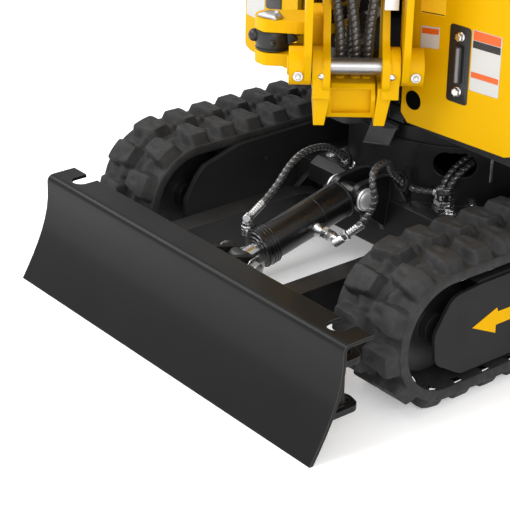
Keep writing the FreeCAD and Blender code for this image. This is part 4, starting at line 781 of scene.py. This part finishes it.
# bucket: cutting edge wear plate, side cutters, tooth bolts
def bk(w, a, z):
    return Wp(w, pbk((P2[0] + a, P2[1] + z)))


b = B()
for w_ in (-130, -48, 48, 130):
    b.prism([bk(w_ - 17.5, -346, -312), bk(w_ - 17.5, -408, -329), bk(w_ - 17.5, -408, -337), bk(w_ - 17.5, -346, -338.5)], side * 35)
b.obj("bucket_tooth_caps", "worn_steel", "bucket", bevel=1.5)
b = B()
for sx in (-1, 1):
    q = [bk(sx * 150, -96, -88), bk(sx * 150, -340, -312), bk(sx * 150, -318, -330), bk(sx * 150, -78, -108)]
    b.prism(q, side * sx * 3)
b.obj("bucket_side_cutters", "worn_steel", "bucket", bevel=1.0)
b = B()
for sx in (-1, 1):
    for t in (0.2, 0.5, 0.8):
        b.bolt(bk(sx * 153, -88 - 240 * t, -98 - 222 * t), side * sx, 14, 6)
b.obj("bucket_bolts", "steel_pin", "bucket")
# clamps on the boom
a1 = math.radians(52.0)


def q1(a, c):
    return pbm((P0[0] + math.cos(a1) * a - math.sin(a1) * c, P0[1] + math.sin(a1) * a + math.cos(a1) * c))


b = B()
for sx in (-1, 1):
    for a_ in (380, 520):
        b.box(Wp(sx * 73, q1(a_, -14)), (6, 22, 42), side, Vector(W(0, *q1(a_ + 1, 0))) - Vector(W(0, *q1(a_, 0))))
b.obj("boom_side_clamps", "black_paint", "boom", bevel=1.0)

# ------------------------------------------------------------------ operator's station, hood and canopy
b = B()
for k in range(19):
    b.box((0, -262 + 16 * k, 750.1), (560, 5, 2.4))
b.obj("floor_mat_ribs", "plastic_black", "house", bevel=0.6)
b = B()
for sx in (-1, 1):
    for y in (-270, 20):
        b.bolt((sx * 330, y, 749), (0, 0, 1), 13, 6)
b.obj("floor_bolts", "steel_pin", "house")
for sx, nm in ((-1, "right"), (1, "left")):
    b = B()
    b.rev((sx * 352, 110, 985), (0, 0, 1), [(0, 34), (3, 35), (8, 30), (11, 31), (16, 26), (19, 27), (24, 21), (27, 22), (32, 16), (35, 15)], 40)
    b.obj(nm + "_lever_boot", "seat_vinyl", "house")
    b = B()
    b.prism([(sx * 352 - 46, y, z) for y, z in ((150, 985.5), (272, 985.5), (276, 993), (270, 999), (152, 999), (146, 993))], (92, 0, 0))
    b.obj(nm + "_armrest_pad", "seat_vinyl", "house", bevel=4, segs=3)
    b = B()
    for k in range(3):
        b.rev((sx * (330 + 22 * k), 85, 985), (0, 0, 1), [(0, 7), (1, 7.6), (5, 7.4), (6, 6)], 24)
    b.obj(nm + "_console_switches", "steel_pin", "house")
b = B()
for k in range(9):
    b.box((0, 560, 640 + 30 * k) if False else (-150 + 37.5 * k, 600.5, 760), (16, 3, 150))
b.obj("hood_louvres", "black_paint", "hood", bevel=1.0)
b = B()
b.prism([(-30, 597, 655), (30, 597, 655), (30, 597, 680), (-30, 597, 680)], (0, 6, 0))
b.rev((0, 603, 667), (0, 1, 0), [(0, 9), (1, 9.5), (3, 9), (4, 6)], 28)
b.obj("hood_latch", "plastic_black", "hood", bevel=1.0)
for sx, nm in ((-1, "right"), (1, "left")):
    b = B()
    b.prism([(sx * 300 - 36, 512, 520), (sx * 300 + 36, 512, 520), (sx * 300 + 36, 512, 548), (sx * 300 - 36, 512, 548)], (0, 8, 0))
    b.obj(nm + "_tail_reflector", "lamp_red", "house", bevel=1.5)
b = B()
for x in (-330, -110, 110, 330):
    for y in (-280, 410):
        b.bolt((x, y, 2222), (0, 0, 1), 13, 6)
for sx in (-1, 1):
    for z in (980, 1010):
        b.bolt((sx * 372, 309, z), (sx, 0, 0), 13, 6)
b.obj("canopy_bolts", "steel_pin", "house")
b = B()
for x in (-260, -130, 0, 130, 260):
    b.prism([(x - 20, y, z) for y, z in ((-270, 2222), (-262, 2227), (392, 2227), (400, 2222))], (40, 0, 0))
b.obj("canopy_ribs", "yellow_paint", "house", bevel=1.5)


# padded seat
def cushion(node, body, mt, shrink, flat_axis, cap, channels):
    src = N[node]; me = src.data.copy(); me.name = node + "_pad"
    o = bpy.data.objects.new(node + "_pad", me); SCN.collection.objects.link(o); o.matrix_world = src.matrix_world.copy()
    c = sum((Vector(v.co) for v in me.vertices), Vector()) / len(me.vertices)
    for v in me.vertices:
        v.co = c + (Vector(v.co) - c) * shrink
    rm = o.modifiers.new("rm", "REMESH"); rm.mode = "VOXEL"; rm.voxel_size = 0.0075
    bpy.context.view_layer.update()
    dg = bpy.context.evaluated_depsgraph_get(); me2 = bpy.data.meshes.new_from_object(o.evaluated_get(dg)); o.modifiers.clear(); o.data = me2
    base = [v.co.copy() for v in me2.vertices]
    cl = o.modifiers.new("cl", "CLOTH"); cs = cl.settings
    cs.use_pressure = True; cs.uniform_pressure_force = 4.0; cs.effector_weights.gravity = 0.0; cs.quality = 4
    cl.point_cache.frame_start = 1; cl.point_cache.frame_end = 20
    for f in range(1, 21):
        SCN.frame_set(f)
    dg = bpy.context.evaluated_depsgraph_get(); me3 = bpy.data.meshes.new_from_object(o.evaluated_get(dg)); o.modifiers.clear()
    SCN.frame_set(1)
    for v, q in zip(me3.vertices, base):
        d = v.co - q
        if d.length > cap:
            v.co = q + d.normalized() * cap
    o.data = me3
    ss = o.modifiers.new("ss", "SUBSURF"); ss.levels = 1; ss.render_levels = 1
    bpy.context.view_layer.update()
    dg = bpy.context.evaluated_depsgraph_get(); me4 = bpy.data.meshes.new_from_object(o.evaluated_get(dg)); o.modifiers.clear(); o.data = me4
    for v in me4.vertices:
        g = 0.0
        for ax_, pos in channels:
            g = max(g, math.exp(-((v.co[ax_] - pos) / 0.006) ** 2))
        v.co = v.co + (c - v.co).normalized() * 0.006 * g
    xs = [[v.co[k] for v in me4.vertices] for k in range(3)]
    o.data.materials.clear(); o.data.materials.append(MATS[mt])
    o.data.polygons.foreach_set("use_smooth", [True] * len(o.data.polygons))
    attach(o, body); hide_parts(node)
    return o


loc = lambda x, y, z: M(x, y, z)
CH1 = [(1, M(0, 140, 0).y), (1, M(0, 215, 0).y), (0, M(-120, 0, 0).x), (0, M(120, 0, 0).x)]
cushion("seat_cushion", "house", "seat_vinyl", 0.95, 2, 0.022, CH1)
CH2 = [(2, 1.12), (2, 1.25), (0, M(-120, 0, 0).x), (0, M(120, 0, 0).x)]
cushion("seat_backrest", "house", "seat_vinyl", 0.95, 1, 0.022, CH2)
